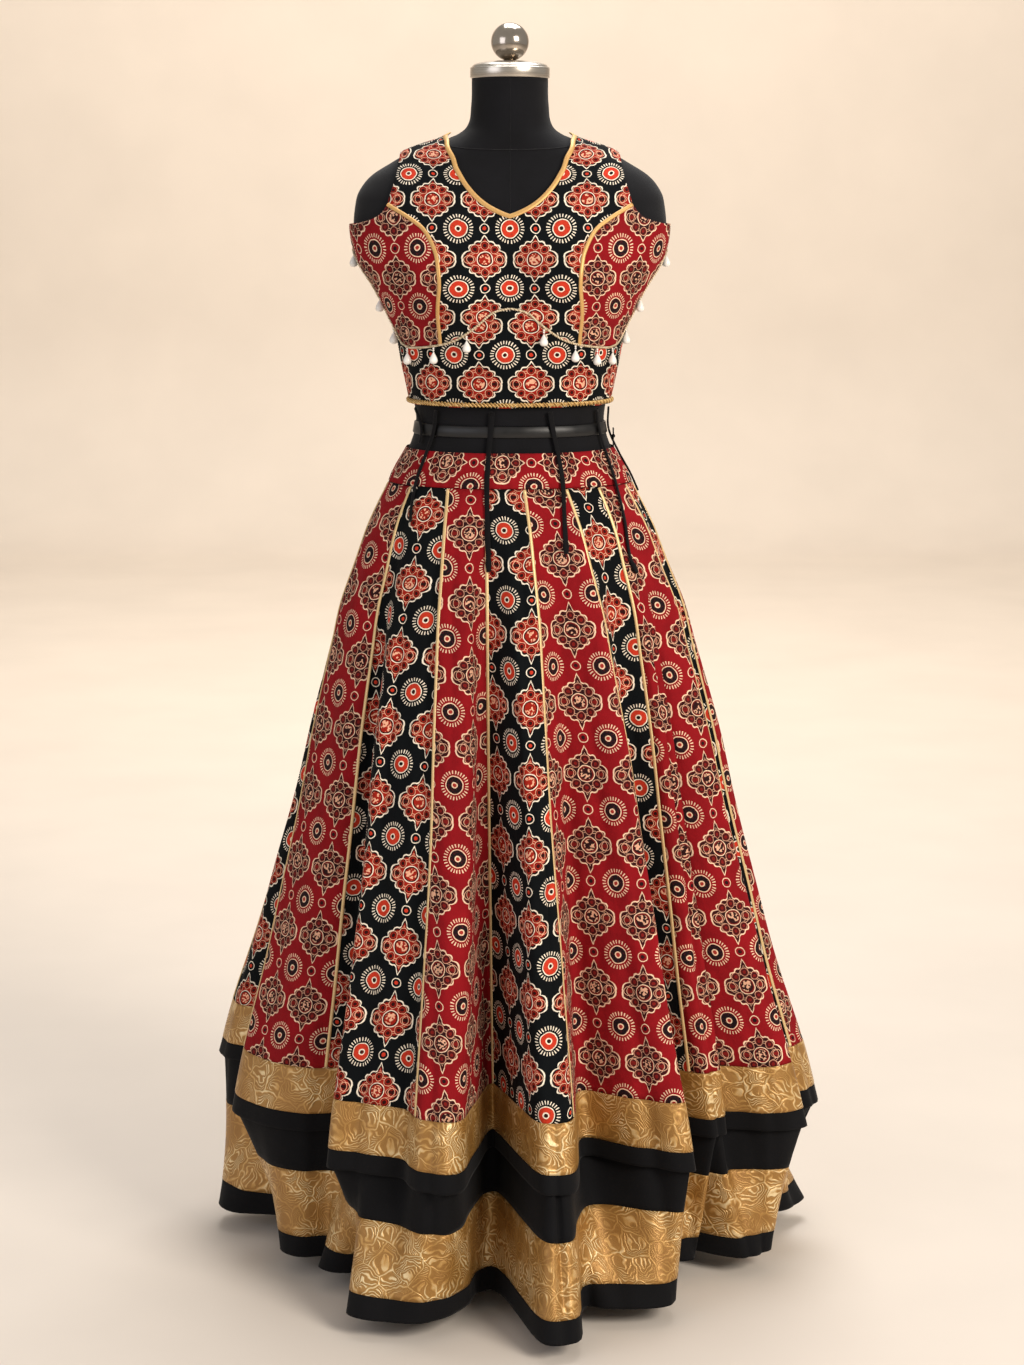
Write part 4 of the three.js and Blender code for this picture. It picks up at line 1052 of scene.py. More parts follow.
@dataclass(frozen=True)
class GoldBrocade:
    """Woven brocade with gilt thread: raised scrolls and veined leaves, with painted highlight on their ridges
    and painted shade on the lower ground between them.
    """

    name: str
    deep: str
    middle: str
    bright: str

    def build(self) -> bpy.types.Material:
        """Builds the brocade: cells about 28 mm wide, each with arcs 3.4 mm apart that run its own way.

        The arcs are a sine of the way across the cell in its own direction plus the distance from its
        heart, and the cells' edges are raised stems.

        Returns:
            The material.
        """
        look = Look(self.name)
        add = look.add
        cloth = add("UVMap", uv_map=CLOTH_UV)
        swirl = add("TexNoise", cloth, None, 34.0, 2.0, out="Color", noise_dimensions="2D")
        swirl = add("VectorMath.SUBTRACT", swirl, (0.5, 0.5, 0.5))
        moved = add("VectorMath.MULTIPLY_ADD", swirl, (0.026, 0.026, 0.0), cloth)
        cells = {"Scale": 34.0}
        rim = add("TexVoronoi", moved, named=cells, feature="DISTANCE_TO_EDGE",
                  voronoi_dimensions="2D", out="Distance")
        heart = add("TexVoronoi", moved, named=cells, voronoi_dimensions="2D", out="Distance")
        own = add("TexVoronoi", moved, named=cells, voronoi_dimensions="2D", out="Color")
        way = add("Math.MULTIPLY", add("SeparateXYZ", own), 2 * math.pi)
        across = add("Math.MULTIPLY", add("SeparateXYZ", moved), add("Math.COSINE", way))
        across = add("Math.MULTIPLY_ADD", add("SeparateXYZ", moved, out="Y"), add("Math.SINE", way), across)
        arcs = add("Math.MULTIPLY_ADD", across, 1150.0, add("Math.MULTIPLY", heart, 40.0))
        ridge = add("MapRange", add("Math.SINE", arcs), -0.2, 1.0, 0.0, 1.0, interpolation_type="SMOOTHSTEP")
        stem = add("MapRange", rim, 0.0, 0.07, 1.0, 0.0, interpolation_type="SMOOTHSTEP")
        groove = add("MapRange", rim, 0.06, 0.14, 0.0, 1.0, interpolation_type="SMOOTHSTEP")
        relief = add("Math.MAXIMUM", stem, add("Math.MULTIPLY", ridge, groove))
        patchy = add("TexNoise", cloth, None, 22.0, 3.0, noise_dimensions="2D")
        strength = add("MapRange", patchy, 0.35, 0.65, 0.25, 1.0)
        relief = add("Math.MULTIPLY", relief, strength)
        thread = add("TexWave", cloth, 760.0, 1.5, 2.0, bands_direction="DIAGONAL", out="Fac")
        # The colour follows the relief. Raised stems and arcs are painted brighter as painted highlight, and
        # the low ground darker as painted shade. The diagonal threads and the patches are the weave's own tone.
        tone_with_painted_light = add("Math.MULTIPLY_ADD", thread, 0.12, add("Math.MULTIPLY", relief, 0.7))
        tone_with_painted_light = add("Math.MULTIPLY_ADD", add("Math.SUBTRACT", patchy, 0.5), 0.3, tone_with_painted_light)
        colour = add("ValToRGB", tone_with_painted_light, stops=((0.0, self.deep), (0.3, self.middle), (0.85, self.bright)))
        height = add("Math.MULTIPLY_ADD", thread, 0.08, relief)
        bump = add("Bump", 0.7, 0.001, named={"Height": height}, out="Normal")
        return look.finish(colour, 0.4, bump, Metallic=0.4, Specular_IOR_Level=0.5)


@dataclass(frozen=True)
class GiltCord:
    """Cord wound with gilt thread: a satin gold with fine slanting turns, fainter on a flat ribbon."""

    name: str
    deep: str
    bright: str
    relief: float = 0.5
    fineness: float = 160.0

    def build(self) -> bpy.types.Material:
        """Builds the cord: slanting stripes in colour and bump, 2 mm apart on a cord, 0.5 mm on a ribbon."""
        look = Look(self.name)
        place = look.add("TexCoord", out="Object")
        turns = look.add("TexWave", place, self.fineness, 1.0, 1.0, bands_direction="DIAGONAL", out="Fac")
        colour = look.add("ValToRGB", turns, stops=((0.1, self.deep), (0.8, self.bright)))
        bump = look.add("Bump", self.relief, 0.0006, named={"Height": turns}, out="Normal")
        return look.finish(colour, 0.42, bump, Metallic=0.35)


@dataclass(frozen=True)
class Glazed:
    """Moulded and glazed drops: smooth, bright and a little milky."""

    name: str
    colour: str

    def build(self) -> bpy.types.Material:
        """Builds the glaze: nearly white, with faint clouds."""
        look = Look(self.name)
        place = look.add("TexCoord", out="Object")
        cloud = look.add("TexNoise", place, None, 120.0, 2.0)
        shade = look.add("MapRange", cloud, 0.3, 0.7, 0.93, 1.0)
        colour = look.add("VectorMath.SCALE", linear(self.colour)[:3], named={"Scale": shade})
        return look.finish(colour, 0.22, None, Specular_IOR_Level=0.5, Coat_Weight=0.4, Coat_Roughness=0.1)


class Brushing(Enum):
    """How a metal surface was finished."""

    POLISHED = "polished"
    TURNED = "turned"
    PAINTED = "painted"


@dataclass(frozen=True)
class Metal:
    """Nickel-plated steel, polished or brushed on a lathe, or steel with satin paint."""

    name: str
    colour: str
    roughness: float
    brushing: Brushing

    def build(self) -> bpy.types.Material:
        """Builds the metal: fine rings round the axis where it was turned, faint smudges elsewhere."""
        look = Look(self.name)
        place = look.add("TexCoord", out="Object")
        if self.brushing is Brushing.TURNED:
            place = look.add("VectorMath.MULTIPLY", place, (6.0, 6.0, 1800.0))
            marks = look.add("TexNoise", place, None, 1.0, 3.0)
        else:
            marks = look.add("TexNoise", place, None, 40.0, 3.0)
        rough = look.add("MapRange", marks, 0.3, 0.7, self.roughness * 0.75, self.roughness * 1.3)
        shade = look.add("MapRange", marks, 0.3, 0.7, 0.88, 1.06)
        colour = look.add("VectorMath.SCALE", linear(self.colour)[:3], named={"Scale": shade})
        bump = look.add("Bump", 0.12, 0.0002, named={"Height": marks}, out="Normal")
        return look.finish(colour, rough, bump, Metallic=0.0 if self.brushing is Brushing.PAINTED else 1.0)


@dataclass
class Looks:
    """Every material of the part, built once."""

    choli_black: bpy.types.Material
    choli_red: bpy.types.Material
    skirt_black: bpy.types.Material
    skirt_red: bpy.types.Material
    band_red: bpy.types.Material
    black_cloth: bpy.types.Material
    jersey: bpy.types.Material
    brocade: bpy.types.Material
    gilt: bpy.types.Material
    ribbon: bpy.types.Material
    pale_ribbon: bpy.types.Material
    cream: bpy.types.Material
    drop: bpy.types.Material
    turned: bpy.types.Material
    polished: bpy.types.Material
    painted: bpy.types.Material

    @classmethod
    def build(cls) -> Looks:
        """Builds them from the finishes' colours and sizes."""
        black = dict(ground="#070b0e", medallion_ink="#2c0c0b", petal_ink="#9e2216", deep_ink="#2a0b0a",
                     fine_ink="#eeb595", line_ink="#f6ead6", sun_ink="#cb3a24", sun_eye="#150f0e")
        red = dict(ground="#8a1119", medallion_ink="#3a0f10", petal_ink="#2a1214", deep_ink="#7a1a18",
                   fine_ink="#e2ae90", line_ink="#f2cfb0", sun_ink="#1a1216", sun_eye="#a8332a")
        choli, skirt = ((61.0, 73.0), 27.0), ((64.0, 87.0), 28.5)
        return cls(
            choli_black=BlockPrint("black_block_print_blouse", *choli, **black, tip=1.08).build(),
            choli_red=BlockPrint("red_block_print_blouse", *choli, **red, tip=1.08).build(),
            skirt_black=BlockPrint("black_block_print_skirt", *skirt, **black).build(),
            skirt_red=BlockPrint("red_block_print_skirt", *skirt, **red).build(),
            band_red=BlockPrint("red_block_print_band", *choli, sideways=True, **red, tip=1.08).build(),
            black_cloth=PlainCotton("black_cotton", "#08080b", 0.04).build(),
            jersey=PlainCotton("black_jersey", "#0b0b0f", 0.12, 1400.0).build(),
            # The brocade's deep gold is painted shade in the low places of its relief, and its bright gold
            # painted highlight on the ridges.
            brocade=GoldBrocade("gold_brocade", "#946a33", "#bd9150", "#efd9aa").build(),
            gilt=GiltCord("gilt_cord", "#94692c", "#e6c383").build(),
            ribbon=GiltCord("gilt_ribbon", "#c08f4a", "#dfb475", 0.1, 640.0).build(),
            pale_ribbon=GiltCord("pale_gilt_ribbon", "#c9a366", "#ecd2a0", 0.1, 640.0).build(),
            cream=GiltCord("cream_cord", "#b39c78", "#efdfc2").build(),
            drop=Glazed("white_glaze", "#f3f0ea").build(),
            turned=Metal("turned_nickel", "#c9c1b6", 0.28, Brushing.TURNED).build(),
            polished=Metal("polished_nickel", "#b8aea2", 0.15, Brushing.POLISHED).build(),
            painted=Metal("satin_black_paint", "#08080a", 0.42, Brushing.PAINTED).build(),
        )


@dataclass
class DressForm:
    """The padded form, its metal cap and ball, its waist tape and its stand."""

    looks: Looks
    columns: int = 180
    bottom: float = 800.0
    top: float = 1472.0
    cap_radius: float = 48.0
    cap_rim: float = 13.0
    ball_radius: float = 22.8
    ball_middle: float = 1515.5
    tape: tuple[float, float] = (1045.0, 1060.0)

    def body(self) -> None:
        """The form's skin as a closed shape: its sections from the neck down, and a flat face at each end."""
        heights = np.concatenate([np.linspace(self.top, 1340, 60), np.linspace(1336, self.bottom, 150)])
        angles = np.arange(self.columns) * 360.0 / self.columns
        grid = skin(angles[None], heights[:, None])
        build = Build()
        build.grid(grid, None, True)
        loop = np.arange(self.columns)
        build.cap(loop)
        build.cap((len(heights) - 1) * self.columns + loop[::-1])
        build.make("dress_form", self.looks.jersey, ["form_body"])

    def seams(self) -> None:
        """Sewn seams of the cover: one round the neck's foot and one down the middle, front and back."""
        build = Build()
        angle = np.linspace(0, 360, 160, endpoint=False)
        dip = 1402 - 15 * np.cos(np.radians(angle))
        path = on_form(angle, dip, 0.1)
        ahead = unit(np.roll(path, -1, 0) - np.roll(path, 1, 0))
        out = facing(skin, angle, dip, 0.5, 0.5)
        carried(build, path, np.cross(out, ahead), out, 0.8, 0.45, 6, True)
        for side in (0.0, 180.0):
            height = np.linspace(1470, 1300, 60)
            path = on_form(np.full(60, side), height, 0.05)
            out = facing(skin, np.full(60, side), height, 0.5, 0.5)
            ahead = unit(np.gradient(path, axis=0))
            carried(build, path, np.cross(out, ahead), out, 0.6, 0.35, 6)
        build.make("form_seams", self.looks.jersey)

    def cap(self) -> None:
        """The neck cap: a turned rim and a low dome; and the polished ball on it."""
        low, r = self.top + 0.4, self.cap_radius
        rim = low + self.cap_rim
        turn = np.linspace(0, np.pi / 2, 10)
        dome = np.stack([20 + (r - 22) * np.sin(turn), rim + 7.5 * np.cos(turn)], -1)
        edge = [(r - 0.8, rim), (r - 0.2, rim - 0.5), (r, rim - 1.2), (r, low + 1), (r - 0.6, low + 0.2)]
        profile = np.vstack([[(0.3, rim + 7.5), (10, rim + 7.5)], dome, edge, [(r - 1.2, low), (0.3, low)]])
        build = Build()
        revolved(build, profile, np.zeros((1, 3)), 96)
        build.make("neck_cap", self.looks.turned, ["form_neck_cap"])
        turn = np.linspace(0.02, np.pi - 0.3, 40)
        ball = np.stack([self.ball_radius * np.sin(turn),
                         self.ball_middle + self.ball_radius * np.cos(turn)], -1)
        foot = rim + 7.7
        build = Build()
        revolved(build, np.vstack([ball, [(6.4, foot + 1), (7.6, foot + 0.4), (7.8, foot)]]),
                 np.zeros((1, 3)), 72)
        build.make("finial_ball", self.looks.polished, ["form_finial"])

    def waist_tape(self) -> None:
        """The glossy band let into the form's waist, and the slot's rims above and below it."""
        build = Build()
        angle = np.linspace(0, 360, 160, endpoint=False)
        low, high = self.tape
        heights = np.array([high, high - 1.2, (low + high) / 2, low + 1.2, low])
        outs = np.array([0.6, 2.2, 2.5, 2.2, 0.6])
        outer = np.stack([on_form(angle, np.full(160, h), o) for h, o in zip(heights, outs)])
        inner = np.stack([on_form(angle, np.full(160, h), 0.2) for h in (high, low)])
        first = build.grid(outer, None, True)
        second = build.grid(inner, None, True, flip=True)
        loop = np.arange(160)
        build.strip(second + loop, first + loop, closed=True)
        build.strip(first + 4 * 160 + loop, second + 160 + loop, closed=True)
        build.make("waist_tape", self.looks.painted, ["form_waist_tape"])

    def stand(self) -> None:
        """The pole and the round base, turned in one, with a softened edge."""
        pole, radius, high = 12.5, 165.0, 12.0
        profile = np.array([(0.5, 799.5), (pole, 799.5), (pole, 40), (pole + 6, 38), (pole + 6, 20),
                            (pole + 14, high),
                            (radius - 4, high), (radius - 1.2, high - 1), (radius, high - 4), (radius, 1),
                            (radius - 1, 0), (0.5, 0)])
        build = Build()
        revolved(build, profile, np.zeros((1, 3)), 96)
        build.make("stand", self.looks.painted, ["form_stand"])

    def build(self) -> None:
        """Builds the whole form."""
        self.body()
        self.seams()
        self.cap()
        self.waist_tape()
        self.stand()


@dataclass
class Choli:
    """The blouse: printed panels over the form, each a thin shell."""

    looks: Looks
    out: float = BLOUSE_OUT
    detail: int = 56

    def surface(self, places: Array) -> Array:
        """A grid of angles and heights laid over the form, with faint drags in the cloth."""
        angle, height = places[..., 0], places[..., 1]
        drag = 0.5 * np.sin(angle / 7.0 + height / 16.0) * np.sin(height / 23.0 + 1.3)
        drag += 0.35 * np.sin(angle / 3.4 - height / 31.0)
        return on_form(angle, height, self.out + drag)

    def put(self, name: str, places: Array, look: bpy.types.Material, node: str,
            shift: tuple[float, float] = (0.0, 0.0)) -> None:
        """Makes one panel."""
        cloth_shell(name, self.surface(places), COTTON, look, [node],
                    measure=body_measure(places, shift))

    def build(self) -> None:
        """Builds front, back, the four side panels and the midriff."""
        n = self.detail
        rise = np.linspace(STRAP[-1], FRONT_NECK[-1], 5)
        side = np.vstack([even(PRINCESS, n // 2), even(STRAP, n - n // 2 + 1)[1:], rise[1:]])
        edge = PRINCESS[0][0]
        front = bodice(side, even(FRONT_NECK, 80), 0.0, 2 * n + 1)
        self.put("choli_front_cloth", front, self.looks.choli_black,
                 "choli_front", (0.0305, 0.007))
        back = bodice(side, behind(even(BACK_NECK, 80))[::-1], 180.0, 2 * n + 1)
        self.put("choli_back_cloth", back, self.looks.choli_black, "choli_back", (0.0, 0.02))

        princess = even(PRINCESS, n)
        low = np.vstack([underbust(edge, CUFF[0][0], n // 2), even(CUFF, n - n // 2 + 1)[1:]])
        top = even(SLEEVE_TOP, len(low))
        seam = np.linspace(low[-1], top[-1], n)
        plain = patch(low, top, princess, seam)
        sides = (
            ("front_right", plain), ("front_left", mirrored(plain)[:, ::-1]),
            ("back_right", np.stack([180 - plain[..., 0], plain[..., 1]], -1)[:, ::-1]),
            ("back_left", np.stack([plain[..., 0] - 180, plain[..., 1]], -1)),
        )
        for name, places in sides:
            self.put(f"choli_side_{name}_cloth", places, self.looks.choli_red,
                     f"choli_side_{name}",
                     (0.018, 0.03))
        for name, start in (("front", -90.0), ("back", 90.0)):
            top = underbust(start, start + 180, 2 * n)
            hem = np.stack([top[:, 0], np.full(len(top), BLOUSE_HEM)], -1)
            share = np.linspace(1, 0, 24)[:, None, None]
            places = top[None] * share + hem[None] * (1 - share)
            self.put(f"choli_midriff_{name}_cloth", places, self.looks.choli_black,
                     f"choli_midriff_{name}", (-0.025, 0.0195))


@dataclass
class Trims:
    """Piping, braid, and the cords with drops."""

    looks: Looks
    base: float = BLOUSE_OUT
    drop_length: float = 15.5
    drop_radius: float = 5.0
    hang: float = 6.0

    def frames(self, line: Array, out: float, closed: bool) -> tuple[Array, Array, Array]:
        """The centre line of a trim, and the directions across it and away from the form.

        Args:
            line: Rows of angle and height.
            out: How far the centre line stands off the form.
            closed: Whether its ends meet.

        Returns:
            Points, side vectors and outward vectors.
        """
        path = on_form(line[:, 0], line[:, 1], out)
        away = facing(skin, line[:, 0], line[:, 1], 0.5, 0.5)
        ahead = np.roll(path, -1, 0) - np.roll(path, 1, 0) if closed else np.gradient(path, axis=0)
        ahead = unit(ahead)
        return path, unit(np.cross(away, ahead)), away

    def piping(self, name: str, line: Array, node: str, width: float = 5.2, closed: bool = False) -> None:
        """A flat piping sewn along a line."""
        build = Build()
        path, side, away = self.frames(line, self.base + 0.5, closed)
        carried(build, path, side, away, width / 2, 1.1, 10, closed)
        build.make(name, self.looks.ribbon, [node])

    def twisted(self, build: Build, line: Array, width: float, closed: bool, turn_length: float) -> None:
        """Two strands laid round each other along a line: each strand's centre circles the line's."""
        path, side, away = self.frames(line, self.base + width / 4, closed)
        run = np.concatenate([[0], np.cumsum(np.linalg.norm(np.diff(path, axis=0), axis=1))])
        turns = max(1, round(run[-1] / turn_length))
        phase = 2 * np.pi * turns * run / (run[-1] + (run[1] if closed else 0))
        for strand in (0.0, np.pi):
            swing = width / 4
            centre = path + side * (swing * np.cos(phase + strand))[:, None] + away * (
                swing * 0.6 * np.sin(phase + strand))[:, None]
            carried(build, centre, side, away, width / 4.2, width / 4.2, 7, closed)

    def drops(self, name: str, roots: Array) -> None:
        """White drops, each on a thread from its place on the trim: a teardrop turned round its axis.

        Args:
            name: The piece's name.
            roots: Rows of angle and height.
        """
        start = on_form(roots[:, 0], roots[:, 1], self.base + 1.2)
        hung = on_form(roots[:, 0], roots[:, 1] - self.hang - self.drop_length / 2,
                       self.base + self.drop_radius + 0.4)
        tops = np.stack([hung[:, 0], hung[:, 1], start[:, 2] - self.hang], -1)
        t = np.linspace(0.03, 0.985, 18)
        wide = self.drop_radius * 1.45 * np.sqrt(np.clip(1 - (2 * t - 1) ** 2, 0, None)) * t**0.75
        profile = np.stack([np.maximum(wide, 0.35), -self.drop_length * t], -1)
        build = Build()
        revolved(build, profile, tops, 14)
        turn = np.linspace(0.2, np.pi - 0.2, 7)
        bead = np.stack([1.3 * np.sin(turn), 1.3 * np.cos(turn)], -1)
        for lift in (1.1, 3.6):
            revolved(build, bead, tops + np.array([0, 0, lift]), 8)
        build.make(name, self.looks.drop)
        threads = Build()
        share = np.linspace(0, 1, 7)[:, None]
        for a, b in zip(start, tops):
            path = a * (1 - share) + b * share + np.array([0, 0, -1.0]) * 0.8 * np.sin(np.pi * share)
            side = np.broadcast_to(unit(np.cross(b - a, [0.3, 1.0, 0.1])), path.shape)
            out = unit(np.cross(side, np.broadcast_to(unit(b - a), path.shape)))
            carried(threads, path, side, out, 0.55, 0.55, 6)
        threads.make(name + "_threads", self.looks.cream)

    def build(self) -> None:
        """Builds every trim of the blouse."""
        neck, nape = even(FRONT_NECK, 70), even(BACK_NECK, 50)
        ring = np.vstack([neck, nape[1:], rounded(nape[::-1])[1:], rounded(neck[::-1])[1:-1]])
        self.piping("neck_piping_cord", ring, "neck_piping", 6.0, True)
        seam = even(PRINCESS, 70)
        quarters = (("front_right", seam), ("front_left", mirrored(seam)), ("back_right", behind(seam)),
                    ("back_left", mirrored(behind(seam))))
        for name, line in quarters:
            self.piping(f"princess_piping_{name}_cord", line, f"princess_piping_{name}", 5.0)

        edge = CUFF[0][0]
        for name, low, high, at in (
            ("front", -edge, edge, (-76, -62, -40, -20, 15, 33, 48, 62, 76)),
            ("back", 180 - edge, 180 + edge, (104, 118, 134, 151, 169, 187, 205, 222, 240, 256)),
        ):
            build = Build()
            self.twisted(build, underbust(low, high, 420), 3.4, False, 5.0)
            build.make(f"underbust_cord_{name}", self.looks.cream, [f"underbust_trim_{name}"])
            roots = np.array([underbust(a, a, 1)[0] for a in at])
            self.drops(f"drops_{name}", roots)
        half = even(CUFF, 60)
        cuff = np.vstack([half, behind(half[::-1])[1:]])
        for name, line in (("right", cuff), ("left", mirrored(cuff))):
            build = Build()
            self.twisted(build, line, 3.4, False, 5.0)
            build.make(f"cuff_cord_{name}", self.looks.cream, [f"cuff_trim_{name}"])
            self.drops(f"cuff_drops_{name}", line[[20, 59, 98]])
        build = Build()
        angle = np.linspace(0, 360, 1200, endpoint=False)
        self.twisted(build, np.stack([angle, np.full(1200, BLOUSE_HEM + 4.2)], -1), 6.4, True, 9.0)
        build.make("hem_braid_cord", self.looks.gilt, ["hem_braid"])


@dataclass
class Lehenga:
    """The skirt: waistband, eighteen panels, seam piping, and the tiers' borders, bindings and flounce."""

    looks: Looks
    panel_rows: int = 100
    panel_columns: int = 34

    def waistband(self) -> None:
        """The waistband: a ring on the form with small gathers towards its lower seam."""
        angle = np.linspace(180, 540, 540, endpoint=False)
        heights = np.linspace(WAIST_TOP, WAIST_SEAM, 16)
        down = (WAIST_TOP - heights[:, None]) / (WAIST_TOP - WAIST_SEAM)
        wave = np.sin(np.radians(angle) * 43) + 0.7 * np.sin(np.radians(angle) * 67 + 1) + 0.5 * np.sin(
            np.radians(angle) * 101)
        out = WAIST_OUT + 0.2 + 0.35 * wave[None] * (0.3 + 0.7 * down) + 0.8 * np.sin(np.pi * down)
        outer = on_form(angle[None] + 0 * down, heights[:, None] + 0 * angle[None], out)
        cloth_shell("lehenga_waistband_cloth", outer, COTTON, self.looks.band_red,
                    ["lehenga_waistband"],
                    True, (0.0, 0.012))

    def panels(self) -> None:
        """The flared panels, black and red in turn, each with its print straight down its own middle."""
        rng = np.random.default_rng(11)
        heights = np.linspace(WAIST_SEAM, BORDER_TOP, self.panel_rows)
        for k in range(len(SEAMS) - 1):
            places = np.linspace(SEAMS[k, 1], SEAMS[k + 1, 1], self.panel_columns)
            outer = creased(upper_skirt, places[None], heights[:, None])
            red = bool(k % 2)
            name = f"lehenga_panel_{k + 1:02d}"
            shift = (float(rng.uniform(-0.006, 0.006)) + 0.031 * (k % 3 == 1),
                     float(rng.uniform(-0.04, 0.04)))
            cloth_shell(name + "_cloth", outer, COTTON,
                        self.looks.skirt_red if red else self.looks.skirt_black,
                        [name],
                        shift=shift)

    def seam_piping(self) -> None:
        """Gold piping over every seam of the skirt, from the waistband to the border."""
        build = Build()
        heights = np.linspace(WAIST_SEAM - 1, BORDER_TOP + 1, 150)
        for place in SEAMS[:-1, 1]:
            places = np.full(len(heights), place)
            path = creased(upper_skirt, places, heights)
            away = -facing(upper_skirt, places, heights, FOLD_REACH, -1.0)
            side = unit(np.cross(away, unit(np.gradient(path, axis=0))))
            carried(build, path + away * 0.3, side, away, 2.1, 0.8, 8)
        build.make("skirt_seam_piping", self.looks.pale_ribbon)

    def ring(self, name: str, surface: Surface, high: float, low: float, rows: int, look: bpy.types.Material,
             slot: str, thickness: float = COTTON, out: float = 0.0) -> None:
        """One ring of cloth round the skirt between two levels."""
        places = np.linspace(33.5, 33.5 + TURN, 18 * self.panel_columns, endpoint=False)
        heights = np.linspace(high, low, rows)
        outer = creased(surface, places[None], heights[:, None])
        if out:
            outer = outer + grid_normals(outer, True) * out
        cloth_shell(name + "_cloth", outer, thickness, look, [name],
                    True)

    def build(self) -> None:
        """Builds the whole skirt."""
        self.waistband()
        self.panels()
        self.seam_piping()
        looks = self.looks
        binding = UPPER_HEM + UPPER_BINDING
        self.ring("upper_border", upper_skirt, BORDER_TOP, binding, 16, looks.brocade,
                  "gold_brocade", BROCADE, 0.4)
        self.ring("upper_binding", upper_skirt, binding, UPPER_HEM, 8, looks.black_cloth,
                  "black_cloth", BROCADE)
        flounce_end = LOWER_HEM + LOWER_BINDING + LOWER_BORDER
        binding = LOWER_HEM + LOWER_BINDING
        self.ring("lower_flounce", flounce, FLOUNCE_TOP, flounce_end, 36, looks.black_cloth, "black_cloth")
        self.ring("lower_border", flounce, flounce_end, binding, 18, looks.brocade,
                  "gold_brocade", BROCADE, 0.4)
        self.ring("lower_binding", flounce, binding, LOWER_HEM, 8, looks.black_cloth, "black_cloth", BROCADE)


@dataclass(frozen=True)
class Tie:
    """A flat black tie: its angles and heights from under the blouse to its free end."""

    name: str
    knotted: bool
    points: tuple[tuple[float, float], ...]
    width: float = 6.5
    height: float = 2.6
    bow_at: int = 0

    def route(self) -> Array:
        """Its centre line: over form and waistband, then on the skirt, a smooth curve through its points."""
        rows = []
        for angle, height in self.points:
            if height > WAIST_TOP + 20:
                rows.append(on_form(np.array([angle]), np.array([height]), 4.5)[0])
            elif height >= WAIST_SEAM:
                rows.append(on_form(np.array([angle]), np.array([height]), WAIST_OUT + 2.6)[0])
            else:
                place, level = np.array([hem_place(angle)]), np.array([height])
                away = -facing(upper_skirt, place, level, FOLD_REACH, -1.0)
                rows.append((creased(upper_skirt, place, level) + away * 2.4)[0])
        points = np.array(rows)
        run = np.concatenate([[0], np.cumsum(np.linalg.norm(np.diff(points, axis=0), axis=1))])
        wanted = np.linspace(0, run[-1], 39)
        return np.stack([smooth_at(run, points[:, k], wanted) for k in range(3)], -1)

    def build(self, looks: Looks) -> None:
        """Makes the tie: a flat oval carried along its line, swelling into a knot where it has one."""
        path = self.route()
        away = unit(path * np.array([1.0, 1.0, 0.0]))
        ahead = unit(np.gradient(path, axis=0))
        side = unit(np.cross(away, ahead))
        away = unit(np.cross(ahead, side))
        run = np.concatenate([[0], np.cumsum(np.linalg.norm(np.diff(path, axis=0), axis=1))])
        swell = np.exp(-(((run[-1] - run - 9) / 4.0) ** 2)) if self.knotted else np.zeros(len(run))
        wide = self.width / 2 * (1 + 0.08 * np.sin(run / 11.0)) * (1 + 0.35 * swell)
        high = self.height / 2 * (1 + 1.6 * swell)
        build = Build()
        carried(build, path, side, away, wide, high, 12)
        piece = build.make(self.name + "_cord", looks.black_cloth, [self.name])
        bow = [self.bow(path, side, away, looks)] if self.bow_at else []

    def bow(self, path: Array, side: Array, away: Array, looks: Looks) -> bpy.types.Object:
        """Ties a small bow across the cord: two loops and two short ends from one place of its line.

        Args:
            path: The cord's centre line.
            side: Unit vectors across it.
            away: Unit vectors away from the body.
            looks: The materials.

        Returns:
            The object.
        """
        here = self.bow_at
        middle = path[here] + away[here] * 2.6
        up = np.array([0, 0, 1.0])
        build = Build()
        turn = np.linspace(0, 2 * np.pi, 25)[:, None]
        for way in (-1.0, 1.0):
            reach, width = 6.0 * (1 - np.cos(turn)), 2.6 * np.sin(turn)
            loop = middle + side[here] * way * reach + up * 0.5 * reach + up * width
            tail = middle + side[here] * way * 9 * turn / 6.28 - up * 13 * turn / 6.28
            for line in (loop, tail):
                ahead = unit(np.gradient(line, axis=0))
                out = unit(np.broadcast_to(away[here], line.shape))
                across = unit(np.cross(out, ahead))
                carried(build, line, across, out, 1.3, 0.9, 8)
        revolved(build, np.array([(0.6, 2.6), (2.1, 1.4), (2.4, 0.0), (2.1, -1.4), (0.6, -2.6)]),
                 middle[None], 10)
        return build.make(self.name + "_bow", looks.black_cloth)


TIES = (
    Tie("tie_front_1", False, ((-47, 1078), (-49.5, 1050), (-50, 1020), (-49, 992), (-47, 965), (-45, 944))),
    Tie("tie_front_2", True, ((-9.5, 1078), (-10.5, 1050), (-10.5, 1020), (-10, 992),
                              (-9.7, 955), (-9.6, 928),
                              (-9.4, 910), (-9.3, 889))),
    Tie("tie_front_3", True, ((22.5, 1078), (25, 1050), (25.5, 1020), (24.5, 992), (20, 950), (17.5, 910))),
    Tie("tie_front_4", True, ((60, 1078), (64, 1050), (62, 1020), (58.5, 992),
                              (53, 945), (49, 900), (51, 881))),
    Tie("tie_side_left", False, ((-72, 1078), (-66, 1062), (-62, 1048), (-60, 1034))),
    Tie("tie_side_right", False, ((84, 1078), (87, 1050), (89, 1020), (90, 992), (90.5, 972)), 4.0,
        bow_at=13),
)


